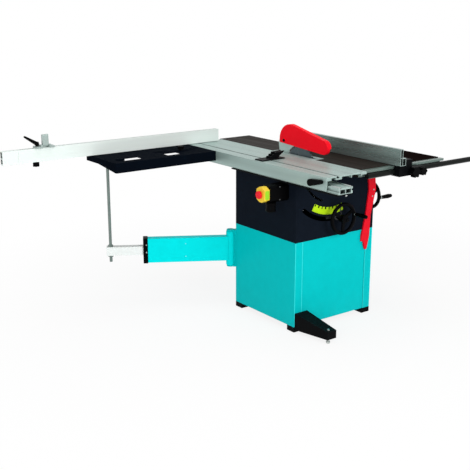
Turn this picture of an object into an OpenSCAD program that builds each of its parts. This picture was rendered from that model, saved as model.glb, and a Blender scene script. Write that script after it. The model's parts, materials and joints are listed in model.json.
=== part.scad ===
// Sliding table saw with a sheet-metal cabinet, a cast table, a sliding carriage with
// outrigger and crosscut fence, a rip fence on a round bar and a tilting saw unit.
// Millimetres. +Z up, +X to the operator's right, +Y along the feed.
// The origin is on the floor, under the middle of the cabinet.

/* [Cabinet] */
// Height of the table surface above the floor
table_z = 866; // [856:1:880]
// Width of the cabinet
cab_w = 540; // [530:1:560]
// Depth of the cabinet
cab_d = 504; // [496:1:520]
// Height of the upper housing above the cabinet
housing_h = 311; // [290:1:330]
// Height of the corner feet
foot_h = 28; // [20:1:36]
// Thickness of the cabinet sheet
sheet = 2.5; // [1.5:0.5:4]
// Width of the folded strips at the cabinet corners
strip_w = 50; // [35:1:65]
// Length of each side of a corner foot
foot_l = 56; // [48:1:70]
// Radius of the anchor hole in a corner foot
anchor_r = 6; // [4:0.5:8]
// Reach of the stabiliser foot in front of the cabinet
stab_len = 224; // [180:1:260]
// Width of the stabiliser foot where it meets the cabinet
stab_w = 84; // [70:1:110]
// Outside radius of the dust outlet
dust_r = 50; // [40:1:60]
// Length of the dust outlet
dust_len = 60; // [40:1:90]

/* [Table] */
// Width of the cast main table
table_w = 300; // [290:1:312]
// Length of the cast main table
table_len = 800; // [780:1:840]
// Front edge of the table in front of the cabinet's middle
table_front = 462; // [450:1:480]
// Thickness of the main table's plate
table_plate = 14; // [10:1:16]
// Depth of the rim round each table
table_rim = 40; // [34:1:46]
// Width of the rear extension table
rear_w = 218; // [180:1:260]
// Length of the rear extension table
rear_len = 362; // [300:1:420]
// Width of the right extension table
right_w = 278; // [220:1:320]
// Length of the right extension table
right_len = 500; // [460:1:560]
// Radius of the rip fence's guide bar
bar_r = 14; // [12:0.5:15]
// Length of the guide bar
bar_len = 770; // [740:1:820]

/* [Sliding carriage] */
// Thickness of the carriage plate
carriage_t = 17.4; // [16:0.2:22]
// Width of the carriage
carriage_w = 258; // [250:1:270]
// Length of the carriage
carriage_len = 1200; // [1150:1:1260]
// Front end of the carriage in front of the cabinet's middle
carriage_front = 520; // [500:1:540]
// Width of the fixed slide beam
beam_w = 88; // [80:1:96]
// Height of the fixed slide beam
beam_h = 31; // [28:0.5:33]
// Length of the fixed slide beam
beam_len = 1150; // [1100:1:1200]
// Radius of the guide rods on the beam
rod_r = 5; // [4:0.5:6]
// Radius of the cage rollers
roller_r = 8; // [7:0.5:8.5]

/* [Outrigger and crosscut fence] */
// Reach of the outrigger from the carriage
outrig_w = 615; // [560:1:680]
// Depth of the outrigger, front to rear
outrig_d = 320; // [300:1:340]
// Height of the outrigger's front rail
outrig_front_h = 52; // [44:1:60]
// Height of the outrigger's rear rail
outrig_rear_h = 30; // [26:1:40]
// Length of the crosscut fence without its extension
fence_len = 1218; // [1150:1:1300]
// Height of the crosscut fence
fence_h = 69; // [60:1:80]
// Thickness of the crosscut fence
fence_t = 32; // [28:1:40]
// Length of the block at the end of the fence extension
ext_block_l = 84; // [60:1:110]

/* [Swing arm] */
// Length of the arm's outer box from the hinge
arm_len = 455; // [420:1:480]
// Height of the arm's outer box
arm_h = 136; // [120:1:150]
// Width of the arm's outer box
arm_w = 48; // [46:1:52]
// Distance from the hinge to the support strut
strut_reach = 657; // [620:1:690]
// Angle of the arm behind the cabinet's left side
arm_angle = 30.9; // [24:0.1:38]

/* [Saw unit] */
// Blade plane, to the left of the cabinet's middle
blade_left = 32; // [28:1:36]
// Radius of the saw blade
blade_r = 125; // [115:1:127]
// Thickness of the saw blade
blade_t = 3; // [2:0.2:3.6]
// Depth of the arbor below the table surface
arbor_drop = 76; // [74:1:84]
// Number of blade teeth
teeth = 40; // [24:1:60]
// Radius of the motor body
motor_r = 65; // [55:1:68]
// Length of the motor body
motor_len = 148; // [120:1:155]
// Width of the blade guard
guard_w = 26; // [24:1:38]

/* [Controls] */
// Radius of the height handwheel's rim, at the middle of the rim
height_wheel_r = 76; // [66:1:84]
// Radius of the tilt handwheel's rim, at the middle of the rim
tilt_wheel_r = 71; // [60:1:78]
// Radius of the arc that the height shaft follows about the tilt axis
height_arc_r = 292; // [288:1:298]
// Largest tilt of the blade, in degrees
tilt_max = 45; // [40:1:45]

/* [Rip fence] */
// Length of the rip fence
rip_len = 794; // [700:1:820]
// Height of the rip fence
rip_h = 84; // [70:1:100]
// Distance from the blade plane to the rip fence
rip_gap = 189; // [150:1:230]

/* [Hidden] */
$fn = 48;

// Overrun of every cut, clearance between moving faces, radial clearance of a running fit
over = 1;
gap = 0.3;
fit = 0.05;

// Cabinet
half_w = cab_w / 2;
half_d = cab_d / 2;
support_t = 6;
roller_rise = rod_r + 2 * gap + 2 * roller_r;
housing_top = table_z - carriage_t - roller_rise - beam_h - support_t;
seam_z = housing_top - housing_h;
flange_w = 30;

// Hinge line of the swing arm, behind the cabinet's left side
hinge_out = 14;
hinge_back = 32;
hinge_x = -half_w - hinge_out;
hinge_y = half_d + hinge_back;

// Stabiliser foot and its levelling screw
stab_side = 4;
stab_x0 = -half_w + stab_side;
stab_tip_w = 60;
stab_tip_in = 26;
stab_tip_clear = 24;
stab_root_h = 104;
stab_tip_h = 66;
stab_clear = 14;
stab_t = 3;
stab_nose = 18;
screw_r = 6;
screw_over = 8;
screw_in = 20;
pad_r = 11;
pad_h = 10;
screw_x = stab_x0 + stab_tip_in + screw_in;
screw_y = -half_d - stab_len + stab_nose;

// Dust outlet in the rear wall
dust_x = 60;
dust_up = 121;
dust_z = seam_z + dust_up;
dust_wall = 2.5;
dust_flange = 70;

// Blade plane and tilt axis, which lies in the table surface
blade_x = -blade_left;
arbor_y = -5;
arbor_z = table_z - arbor_drop;

// Main table
edge_left = 26;
table_x0 = blade_x - edge_left;
table_x1 = table_x0 + table_w;
table_y0 = -table_front;
table_y1 = table_y0 + table_len;
rim_t = 10;
rib_t = 8;
rib_share = 0.5;
leg_w = 34;
leg_d = 26;
leg_inset = 8;
pan_t = 4;
under_table = table_z - table_plate;
rim_z = table_z - table_rim;

// Blade insert and its recess
insert_right = 34;
insert_front = 145;
insert_rear = 205;
insert_t = 8;
insert_ledge = 8;
slot_front = 128;
slot_rear = 190;
slot_left = 12;
slot_right = 4;

// Front rail, guide bar and standoffs
rail_t = 4;
rail_depth = 28;
rail_strip_h = 12;
rail_drop = 4;
rail_web_h = 34;
rail_right = 10;
bar_x0 = -28;
bar_drop = 33;
bar_front = 28;
bar_y = table_y0 - bar_front;
bar_z = table_z - bar_drop;
standoff_r = 6;
standoff_first = 20;
standoff_pitch = 240;
standoff_count = 3;

// Push stick and the peg that it hangs on
peg_right = 27;
peg_drop = 32;
peg_r = 4;
peg_reach = 16;
peg_x = half_w - peg_right;
peg_z = housing_top - peg_drop;
stick_t = 10;
stick_len = 391;
stick_w = 50;
stick_waist_w = 37;
stick_bow_share = 0.17;
stick_waist_share = 0.52;
stick_heel_share = 0.81;
stick_notch_share = 0.875;
stick_bow_right = 7;
stick_waist_left = 18;
stick_foot_left = 62;
stick_foot_w = 58;
stick_notch_d = 15;
stick_tip_left = 27;
stick_tip_r = 9;

// Sliding carriage, from the housing upwards
slide_gap = 2;
carriage_x1 = table_x0 - slide_gap;
carriage_x0 = carriage_x1 - carriage_w;
carriage_y0 = -carriage_front;
carriage_y1 = carriage_y0 + carriage_len;
support_len = 822;
skirt_t = 5;
skirt_h = 64;
skirt_gap = 4;
beam_x0 = carriage_x0 + skirt_t + skirt_gap;
beam_x1 = beam_x0 + beam_w;
beam_front = 594;
beam_y0 = -beam_front;
beam_y1 = beam_y0 + beam_len;
beam_z0 = housing_top + support_t;
beam_z1 = beam_z0 + beam_h;
beam_wall = 3.5;
beam_floor = 3.5;
beam_roof = rod_r + beam_floor;
beam_groove_d = 6;
beam_groove_h = 11;
rod_inset = 11;
roller_z = beam_z1 + rod_r + gap + roller_r;
carriage_z0 = table_z - carriage_t;
rod_xs = [beam_x0 + rod_inset, beam_x1 - rod_inset];
edge_thin_w = 32;
edge_thin_t = 12;
tslot_left = 70;
tslot_x = carriage_x0 + tslot_left;
tslot_mouth = 10;
tslot_lip = 4;
tslot_cavity = 18;
tslot_depth = 11;
chamber_wall = 4;
chamber_roof = 6;
cage_len = 300;
cage_y0 = 0;
cage_t = 4;
cage_margin = 3;
cage_count = 4;
roller_l = 11;

// Carriage lock lever
lock_in = 32;
lock_drop = 24;
lock_y = carriage_y0 + lock_in;
lock_z = table_z - lock_drop;
lock_pin_r = 6;
lock_l = 74;
lock_t = 14;
lock_r0 = 10;
lock_r1 = 17;
lock_fall = 14;

// Outrigger
outrig_t = 3;
outrig_taper = 190;
outrig_corner_r = 10;
seat_w = 44;
seat_x = hinge_x - strut_reach * cos(arm_angle);
outrig_x1 = carriage_x0;
outrig_x0 = min(outrig_x1 - outrig_w, seat_x - seat_w / 2 - outrig_t);
outrig_y0 = 370;
outrig_y1 = outrig_y0 + outrig_d;
outrig_z1 = table_z;
window_in = 45;
window_d = 55;
left_window_in = 45;
left_window_w = 136;
right_window_in = 337;
right_window_w = 82;

// Crosscut fence, its swivel and its extension
fence_y0 = 630;
fence_right = 56;
fence_x1 = carriage_x1 - fence_right;
fence_x0 = fence_x1 - fence_len;
swivel_t = 3;
fence_z0 = outrig_z1 + swivel_t;
fence_z1 = fence_z0 + fence_h;
fence_wall = 3;
fence_web_share = 0.5;
fence_slot_w = 8;
fence_slot_d = 9;
fence_slot_wall = 3;
pivot_left = 152;
pivot_x = outrig_x1 - pivot_left;
pivot_y = fence_y0 + fence_t / 2;
pivot_r = 6;
pivot_h = 18;
swivel_arc_r = 160;
swivel_edge = 16;
swivel_slot_r = 5;
swivel_max = 45;
swivel_spread = 54;
stud_r = 4.6;
knob_r = 19;
knob_h = 16;
knob_neck_r = 9;
knob_neck_h = 8;
bar_in_l = 640;
ext_clear = 0.4;
ext_knob_in = 96;
ext_knob_r = 17;
ext_knob_h = 20;
ext_stud_r = 3;

// Flip stop
stop_in = 91;
stop_x0 = fence_x0 + stop_in;
stop_w = 97;
stop_h = 10;
stop_front = 20;
stop_key_w = 7.4;
stop_key_d = 6;
stop_stud_r = 3;
ear_t = 12;
ear_h = 18;
flap_in = 33;
flap_w = 34;
flap_t = 12;
flap_h = 60;
flap_front = 8;
flap_up = 6;
flap_y = fence_y0 - flap_front;
flap_z = fence_z1 + stop_h + flap_up;
flap_pin_r = 3;
flap_back = 5;
lever_in = 16;
lever_hub_r = 9;
lever_hub_h = 20;
lever_l = 62;
lever_rise = 30;
lever_r = 5;

// Edging shoe
shoe_y0 = -25;
shoe_d = 62;
shoe_w = 150;
shoe_t = 6;
shoe_left = 60;
shoe_key_w = 9.4;
shoe_key_d = 3.4;
shoe_h = 36;
shoe_claw_w = 12;
shoe_jaw_shares = [[0.78, 0], [0.80, 0.30], [1.04, 1.0], [0.74, 0.92], [0.62, 0.92],
    [0.62, 0.66], [0.52, 0.62], [0.52, 0.38], [0.42, 0.35], [0.42, 0]];

// Swing arm
arm_drop = 144;
arm_z = seam_z - arm_drop;
hinge_pin_r = 10;
hinge_r = 24;
hinge_h = 190;
ear_plate = 10;
ear_r = 21;
bracket_t = 6;
bracket_w = 62;
bracket_side = 8;
arm_root = 14;
arm_wall = 4;
arm_cap_l = 25;
arm_cap_over = 3;
tube_side = 1;
tube_w = arm_w - 2 * arm_wall - 2 * tube_side;
tube_h = 48;
tube_wall = 3;
tube_in = 190;
tube_end = 22;
strut_r = 8;
strut_low = 62;
strut_pad_r = 20;
strut_pad_h = 10;
nut_r = 14;
nut_h = 10;
arm_roller_r = (arm_h / 2 - arm_wall - tube_h / 2 - 2 * gap) / 2;
arm_roller_in = 40;

// Tilting saw unit
bracket_in = 48;
bracket_y = half_d - bracket_in;
trunnion_t = 10;
stud_angle = -10;
stud_a_r = 150;
stud_b_r = 215;
guide_r = 8;
bracket_left = 2;
bracket_right = 70;
bracket_low = 16;
plate_r0 = 120;
plate_r1 = 245;
plate_b0 = -80;
plate_b1 = 4;
plate_top = 18;
slot_end = 1.5;
lobe_w = 44;
lobe_low = 20;
column_right = 132;
column_x = blade_x + column_right;
column_r = 10;
column_front = 62;
column_rear = 52;
column_ys = [-column_front, column_rear];
tie_w = 18;
tie_t = 10;
tie_low = 150;
tie_x0 = column_x - tie_w / 2;
tie_x1 = column_x + tie_w / 2;
sleeve_r = 11.5;
sleeve_out = 6;
hanger_right = 182;
hanger_x = blade_x + hanger_right;
hanger_t = 12;
hanger_w = 30;
sector_in = 92;
sector_y = -half_d + sector_in;
sector_t = 18;
sector_band = 26;
worm_up = 62;
worm_drop = height_arc_r - worm_up;
worm_r = 14;
sector_r = worm_drop - worm_r - gap;
sector_b0 = -50;
sector_b1 = 5;
sector_web_angle = 8;
sector_web_r = 170;
sector_teeth = 120;
tooth_h = 4;
tooth_share = 0.5;
bolster_w = 40;
bolster_t = 10;
bolster_drop = 250;

// Arbor, lift and drive
arbor_r = 12.5;
flange_r = 28;
flange_t = 6;
spacer_t = 9;
nut_w = 8;
arbor_nut_r = 16;
bore_r = 15;
house_left = 17;
house_w = 73;
house_r = 32;
bush_r = 16;
bush_h = 40;
bush_low = 15;
lug_r = 14;
lug_h = 30;
lift_right = 37;
lift_x = blade_x + lift_right;
lift_y = -90;
lift_r = 8;
lift_top = 51;
knife_arm_w = 16;
knife_arm_h = 26;
knife_seat_y = 150;
knife_seat_r = 12;
motor_drop = 276;
motor_z = table_z - motor_drop;
pulley_right = 102;
pulley_x0 = blade_x + pulley_right;
pulley_w = 20;
arbor_pulley_r = 30;
motor_pulley_r = 35;
motor_shaft_r = 9;
belt_t = 5;
belt_w = 16;
plate_t = 6;
plate_low_w = 140;
plate_up_w = 70;
plate_split = 176;
fin_count = 16;
fin_h = 5;
fin_w = 4;
fin_share = 0.9;

// Riving knife and guard
knife_t = 2.4;
knife_clear = 6;
knife_back = 177;
knife_low = 96;
knife_top = 79;
knife_top_front = 62;
knife_nose_back = 10;
knife_mid = 52;
guard_t = 2.5;
guard_rear_r = 86;
guard_rear_y = 74;
guard_rear_z = 70;
guard_nose_r = 37;
guard_nose_y = -186;
guard_nose_z = 66;
guard_low_rear = 52;
guard_low_front = 31;
guard_cheek = 22;
guard_screw_y = 118;
guard_screw_z = 66;
guard_screw_r = 4;
guard_boss_r = 9;
guard_boss_h = 4;

// Handwheels
wheel_out = 50;
rim_r = 9.5;
hub_r = 20;
hub_l = 30;
spoke_w = 16;
spoke_t = 8;
shaft_r = 9;
height_beta = -7.3;
height_x = blade_x - height_arc_r * sin(height_beta);
height_z = table_z - height_arc_r * cos(height_beta);
height_wheel_y = -half_d - wheel_out;
slot_r = 12;
lock_arc_r = 200;
lock_arc_b0 = 20;
lock_arc_b1 = 60;
lock_slot_r = 6;
grip_r = 12;
grip_l = 84;
grip_pin_r = 4;
grip_stand = rim_r;
grip_neck_share = 0.72;
height_grip_a = 12;
tilt_grip_a = 186;
tilt_wheel_out = 62;
tilt_wheel_x = half_w + tilt_wheel_out;
tilt_y = sector_y;
tilt_z = table_z - worm_drop;
worm_l = 84;
bevel_r = 22;
bevel_h = 12;

// Angle scale and pointer
scale_in = 24;
scale_band = 38;
scale_r1 = height_arc_r - scale_in;
scale_r0 = scale_r1 - scale_band;
scale_b0 = -17.5;
scale_b1 = 30;
scale_t = 1.5;
scale_step_b = 6;
scale_notch_b = 1.7;
scale_notch_d = 12;
pointer_b = -14;
pointer_tip_b = 1;
pointer_w = 5;
pointer_t = 1.5;
pointer_gap = 3;

// Rip fence and its carrier
rip_x0 = blade_x + rip_gap;
rip_over = 72;
rip_y0 = table_y0 - rip_over;
rip_lift = 1;
rip_z0 = table_z + rip_lift;
rip_t = 18;
rip_base_w = 40;
rip_base_h = 38;
rip_wall = 3;
carrier_left = 4;
carrier_w = 172;
carrier_back = 4;
carrier_y1 = table_y0 - rail_depth - carrier_back;
carrier_low = 5;
carrier_cap = 5;
carrier_hook = 12;
bracket_gap = 0.5;
bracket_x = rip_x0 + rip_base_w + bracket_gap;
rip_bracket_w = 44;
rip_bracket_d = 60;
rip_bracket_h = 28;
carrier_knob_r = 28;
carrier_knob_h = 24;
carrier_knob_neck = 12;
carrier_knob_x = 86;
fence_knob_r = 22;
fence_knob_x = 142;
carrier_stud_r = 5;

// Switch on the cabinet's left side
switch_in = 57;
switch_y0 = -half_d + switch_in;
switch_w = 74;
switch_d = 120;
switch_drop = 98;
switch_z0 = housing_top - switch_drop;
switch_h = 84;
switch_edge = 10;
cover_d = 32;
cover_w = 66;
cover_h = 78;
cover_edge = 14;
cover_flat = 18;
cover_x0 = -half_w - switch_d - gap - cover_d;
cover_y0 = switch_y0 + (switch_w - cover_w) / 2;
cover_y1 = cover_y0 + cover_w;
cover_z0 = switch_z0 + (switch_h - cover_h) / 2;
cover_z1 = cover_z0 + cover_h;
button_r = 20;
button_stem_r = 8;
button_press = 6;
button_depth = 20;
button_head = 10;
button_y = (cover_y0 + cover_y1) / 2;
button_z = (cover_z0 + cover_z1) / 2;
inlet_r = 13;
inlet_h = 50;
inlet_in = 18;

// A box from its corner planes
module box3(x0, x1, y0, y1, z0, z1) {
    translate([x0, y0, z0]) cube([x1 - x0, y1 - y0, z1 - z0]);
}

// Round bars along each axis
module rod_x(x0, x1, y, z, r) {
    translate([x0, y, z]) rotate([0, 90, 0]) cylinder(r = r, h = x1 - x0);
}
module rod_y(y0, y1, x, z, r) {
    translate([x, y0, z]) rotate([-90, 0, 0]) cylinder(r = r, h = y1 - y0);
}
module rod_z(z0, z1, x, y, r) {
    translate([x, y, z0]) cylinder(r = r, h = z1 - z0);
}

// An outline in the Y-Z plane drawn out along X, and one in the X-Z plane along Y
module along_x(x0, x1) {
    translate([x0, 0, 0]) rotate([90, 0, 90]) linear_extrude(x1 - x0) children();
}
module along_y(y0, y1) {
    translate([0, y1, 0]) rotate([90, 0, 0]) linear_extrude(y1 - y0) children();
}

// A flat ring sector between two angles, and a round-ended slot on an arc
module ring_sector(r0, r1, a0, a1) {
    far = 2 * r1;
    mid = (a0 + a1) / 2;
    intersection() {
        difference() {
            circle(r = r1);
            circle(r = r0);
        }
        polygon([[0, 0], far * [cos(a0), sin(a0)], far * [cos(mid), sin(mid)], far * [cos(a1), sin(a1)]]);
    }
}
module arc_slot(r, half, a0, a1) {
    ring_sector(r - half, r + half, a0, a1);
    for (a = [a0, a1]) translate(r * [cos(a), sin(a)]) circle(r = half);
}

// The same about the tilt axis. Angles run from straight down, positive to the left.
module tilt_sector(r0, r1, b0, b1) {
    translate([blade_x, table_z]) ring_sector(r0, r1, -90 - b1, -90 - b0);
}
module tilt_slot(r, half, b0, b1) {
    translate([blade_x, table_z]) arc_slot(r, half, -90 - b1, -90 - b0);
}
function tilt_at_x(r, b) = blade_x - r * sin(b);
function tilt_at_z(r, b) = table_z - r * cos(b);

// The straight band between two circles, from tangent to tangent
function tangent_turn(a, b, ra, rb) = acos((ra - rb) / norm(b - a));
function heading(a, b) = atan2(b[1] - a[1], b[0] - a[0]);
function on_circle(c, r, t) = [c[0] + r * cos(t), c[1] + r * sin(t)];
module two_circles(a, b, ra, rb) {
    h = heading(a, b);
    t = tangent_turn(a, b, ra, rb);
    translate(a) circle(r = ra);
    translate(b) circle(r = rb);
    polygon([on_circle(a, ra, h + t), on_circle(a, ra, h - t),
        on_circle(b, rb, h - t), on_circle(b, rb, h + t)]);
}

// A knob with six lobes, standing on its neck along +Z
module lobed_knob(r, h, neck_r, neck_h) {
    lobe_share = 0.3;
    core_share = 0.8;
    cylinder(r = neck_r, h = neck_h);
    translate([0, 0, neck_h]) {
        cylinder(r = r * core_share, h = h);
        for (a = [0:60:300]) rotate([0, 0, a]) translate([r * (1 - lobe_share), 0, 0])
            cylinder(r = r * lobe_share, h = h);
    }
}

// Cabinet
module side_panel() {
    difference() {
        box3(-half_w, -half_w + strip_w, -half_d, half_d, foot_h, seam_z);
        box3(-half_w + sheet, -half_w + strip_w + over, -half_d + sheet, half_d - sheet,
            foot_h - over, seam_z + over);
    }
}
module side_panels() {
    color("darkturquoise") {
        side_panel();
        mirror([1, 0, 0]) side_panel();
    }
}
module end_panels() {
    color("darkturquoise") for (y = [-half_d + sheet, half_d - 2 * sheet])
        box3(-half_w + sheet, half_w - sheet, y, y + sheet, foot_h, seam_z);
}

module corner_feet() {
    color("#17191c")
        for (sx = [-1, 1], sy = [-1, 1])
            translate([sx * (half_w - foot_l / 2), sy * (half_d - foot_l / 2), 0])
                difference() {
                    translate([-foot_l / 2, -foot_l / 2, 0]) cube([foot_l, foot_l, foot_h]);
                    translate([0, 0, -over]) cylinder(r = anchor_r, h = foot_h + 2 * over);
                }
}

module stabiliser_side(inset) {
    drop = inset > 0 ? over : 0;
    polygon([[-half_d - inset, stab_clear - drop], [-half_d - inset, stab_root_h - inset],
        [-half_d - stab_len + inset, stab_tip_h - inset],
        [-half_d - stab_len + inset, stab_tip_clear - drop]]);
}
module stabiliser_plan(inset) {
    linear_extrude(stab_root_h + over)
        polygon([[stab_x0 + inset, -half_d], [stab_x0 + stab_tip_in + inset, -half_d - stab_len],
            [stab_x0 + stab_tip_in + stab_tip_w - inset, -half_d - stab_len],
            [stab_x0 + stab_w - inset, -half_d]]);
}
module stabiliser_foot() {
    color("#17191c") difference() {
        intersection() {
            along_x(stab_x0, stab_x0 + stab_w) stabiliser_side(0);
            stabiliser_plan(0);
        }
        intersection() {
            along_x(stab_x0, stab_x0 + stab_w) stabiliser_side(stab_t);
            stabiliser_plan(stab_t);
        }
        rod_z(stab_clear, stab_root_h, screw_x, screw_y, screw_r + fit);
    }
}
module levelling_screw() {
    top = stab_tip_h + screw_over;
    color("silver") translate([screw_x, screw_y, 0]) {
        cylinder(r = pad_r, h = pad_h, $fn = 6);
        cylinder(r = screw_r, h = top);
    }
}

module upper_housing() {
    y0 = -half_d - over;
    y1 = -half_d + sheet + over;
    color("#20262e") difference() {
        union() {
            box3(-half_w, half_w, -half_d, half_d, seam_z, housing_top);
            rod_y(-half_d - peg_reach, -half_d + sheet / 2, peg_x, peg_z, peg_r);
        }
        box3(-half_w + sheet, half_w - sheet, -half_d + sheet, half_d - sheet,
            seam_z - over, housing_top - sheet);
        box3(-half_w + flange_w, half_w - flange_w, -half_d + flange_w, half_d - flange_w,
            seam_z, housing_top + over);
        along_y(y0, y1) {
            tilt_slot(height_arc_r, slot_r, height_beta - slot_end, height_beta + tilt_max + slot_end);
            tilt_slot(lock_arc_r, lock_slot_r, lock_arc_b0, lock_arc_b1);
        }
        rod_x(half_w - sheet - over, half_w + over, tilt_y, tilt_z, shaft_r + fit);
        rod_y(half_d - sheet - over, half_d + over, dust_x, dust_z, dust_r - dust_wall);
    }
}

module dust_outlet() {
    color("#17191c") difference() {
        union() {
            box3(dust_x - dust_flange, dust_x + dust_flange, half_d, half_d + sheet,
                dust_z - dust_flange, dust_z + dust_flange);
            rod_y(half_d, half_d + dust_len, dust_x, dust_z, dust_r);
        }
        rod_y(half_d - over, half_d + dust_len + over, dust_x, dust_z, dust_r - dust_wall);
    }
}

// Tables
module main_table() {
    insert_y0 = arbor_y - insert_front;
    insert_y1 = arbor_y + insert_rear;
    insert_x1 = blade_x + insert_right;
    color("#4a4640") difference() {
        union() {
            difference() {
                box3(table_x0, table_x1, table_y0, table_y1, rim_z, table_z);
                box3(table_x0 + rim_t, table_x1 - rim_t, table_y0 + rim_t, table_y1 - rim_t,
                    rim_z - over, under_table);
            }
            for (y = [-half_d + (table_y0 + half_d) * rib_share, half_d + (table_y1 - half_d) * rib_share])
                box3(table_x0 + rim_t / 2, table_x1 - rim_t / 2, y - rib_t / 2, y + rib_t / 2,
                    rim_z, under_table + table_plate / 2);
            for (x = [table_x0 + leg_inset, table_x1 - leg_inset - leg_w])
                for (y = [-half_d + sheet, half_d - sheet - leg_d])
                    box3(x, x + leg_w, y, y + leg_d, housing_top, under_table + table_plate / 2);
        }
        box3(table_x0 - over, insert_x1, insert_y0, insert_y1, table_z - insert_t, table_z + over);
        box3(table_x0 - over, insert_x1 - insert_ledge, insert_y0 + insert_ledge,
            insert_y1 - insert_ledge, rim_z - over, table_z);
    }
}
module pan_table(x0, x1, y0, y1) {
    difference() {
        box3(x0, x1, y0, y1, rim_z, table_z);
        box3(x0 + pan_t, x1 - pan_t, y0 + pan_t, y1 - pan_t, rim_z - over, table_z - pan_t);
    }
}
module rear_table() {
    color("#4a4640") pan_table(table_x0, table_x0 + rear_w, table_y1, table_y1 + rear_len);
}
module right_table() {
    color("#4a4640") pan_table(table_x1, table_x1 + right_w, table_y0, table_y0 + right_len);
}
module table_insert() {
    color("silver") difference() {
        box3(table_x0, blade_x + insert_right - gap, arbor_y - insert_front + gap,
            arbor_y + insert_rear - gap, table_z - insert_t, table_z);
        box3(blade_x - slot_left, blade_x + slot_right, arbor_y - slot_front, arbor_y + slot_rear,
            table_z - insert_t - over, table_z + over);
    }
}

module front_rail() {
    x0 = table_x0;
    x1 = table_x1 + right_w + rail_right;
    top = table_z - rail_drop;
    color("#b9c3bd") difference() {
        union() {
            box3(x0, x1, table_y0 - rail_depth, table_y0, top - rail_strip_h, top);
            box3(x0, x1, table_y0 - rail_t, table_y0, top - rail_web_h, top);
        }
        box3(x0 - over, x1 + over, table_y0 - rail_depth + rail_t, table_y0 - 2 * rail_t,
            top - rail_strip_h + rail_t, top - rail_t);
    }
}
module guide_bar() { color("#8a9291") rod_x(bar_x0, bar_x0 + bar_len, bar_y, bar_z, bar_r); }
module rail_standoffs() {
    color("silver") difference() {
        for (i = [0:standoff_count - 1])
            rod_y(bar_y, table_y0 - rail_t, standoff_first + i * standoff_pitch, bar_z, standoff_r);
        rod_x(bar_x0, bar_x0 + bar_len, bar_y, bar_z, bar_r);
        box3(bar_x0, bar_x0 + bar_len, bar_y - bar_r, bar_y, bar_z - bar_r, bar_z + bar_r);
    }
}

// A flat stick hung on the peg, with a bowed upper half and a notch for the work
module push_stick() {
    w = stick_w / 2;
    waist_w = stick_waist_w / 2;
    y1 = -half_d - gap;
    head = [peg_x, peg_z];
    bow = [peg_x + stick_bow_right, peg_z - stick_len * stick_bow_share];
    waist = [peg_x - stick_waist_left, peg_z - stick_len * stick_waist_share];
    tip = [peg_x - stick_tip_left, peg_z - stick_len + stick_tip_r];
    heel = peg_z - stick_len * stick_heel_share;
    notch = peg_z - stick_len * stick_notch_share;
    foot = peg_x - stick_foot_left;
    color("crimson") along_y(y1 - stick_t, y1) difference() {
        union() {
            two_circles(head, bow, w, w);
            two_circles(bow, waist, w, waist_w);
            translate(tip) circle(r = stick_tip_r);
            polygon([[waist[0] - waist_w, waist[1]], [foot, heel], [foot, notch],
                [foot + stick_notch_d, notch], [tip[0] - stick_tip_r, tip[1]],
                [tip[0] + stick_tip_r, tip[1]], [foot + stick_foot_w, heel],
                [waist[0] + waist_w, waist[1]]]);
        }
        translate(head) circle(r = peg_r + fit);
    }
}

// Slide beam, guide rods, roller cage and carriage
module slide_beam() {
    mid = (beam_x0 + beam_x1) / 2;
    side = beam_groove_d + beam_wall;
    roof = beam_z1 - beam_roof;
    color("#b9c3bd") difference() {
        box3(beam_x0, beam_x1, beam_y0, beam_y1, beam_z0, beam_z1);
        for (x = [[beam_x0 + side, mid - beam_wall / 2], [mid + beam_wall / 2, beam_x1 - side]])
            box3(x[0], x[1], beam_y0 - over, beam_y1 + over, beam_z0 + beam_floor, roof);
        for (x = [[beam_x0 - over, beam_x0 + beam_groove_d], [beam_x1 - beam_groove_d, beam_x1 + over]])
            box3(x[0], x[1], beam_y0 - over, beam_y1 + over, roof - beam_groove_h, roof);
        for (x = rod_xs) rod_y(beam_y0 - over, beam_y1 + over, x, beam_z1, rod_r);
    }
}
module beam_support() {
    color("#17191c")
        box3(carriage_x0, beam_x1, beam_y0, beam_y0 + support_len, housing_top, beam_z0);
}
module beam_rods() {
    color("silver") for (x = rod_xs) rod_y(beam_y0, beam_y1, x, beam_z1, rod_r);
}
module roller_cage() {
    pitch = cage_len / cage_count;
    ys = [for (i = [0:cage_count - 1]) cage_y0 + pitch * (i + 0.5)];
    color("dimgray") {
        difference() {
            box3(beam_x0 + cage_margin, beam_x1 - cage_margin, cage_y0, cage_y0 + cage_len,
                roller_z - cage_t / 2, roller_z + cage_t / 2);
            for (x = rod_xs, y = ys)
                box3(x - roller_l / 2 - gap, x + roller_l / 2 + gap, y - roller_r - gap,
                    y + roller_r + gap, roller_z - cage_t, roller_z + cage_t);
        }
        for (x = rod_xs, y = ys) rod_x(x - roller_l / 2, x + roller_l / 2, y, roller_z, roller_r);
    }
}
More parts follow.
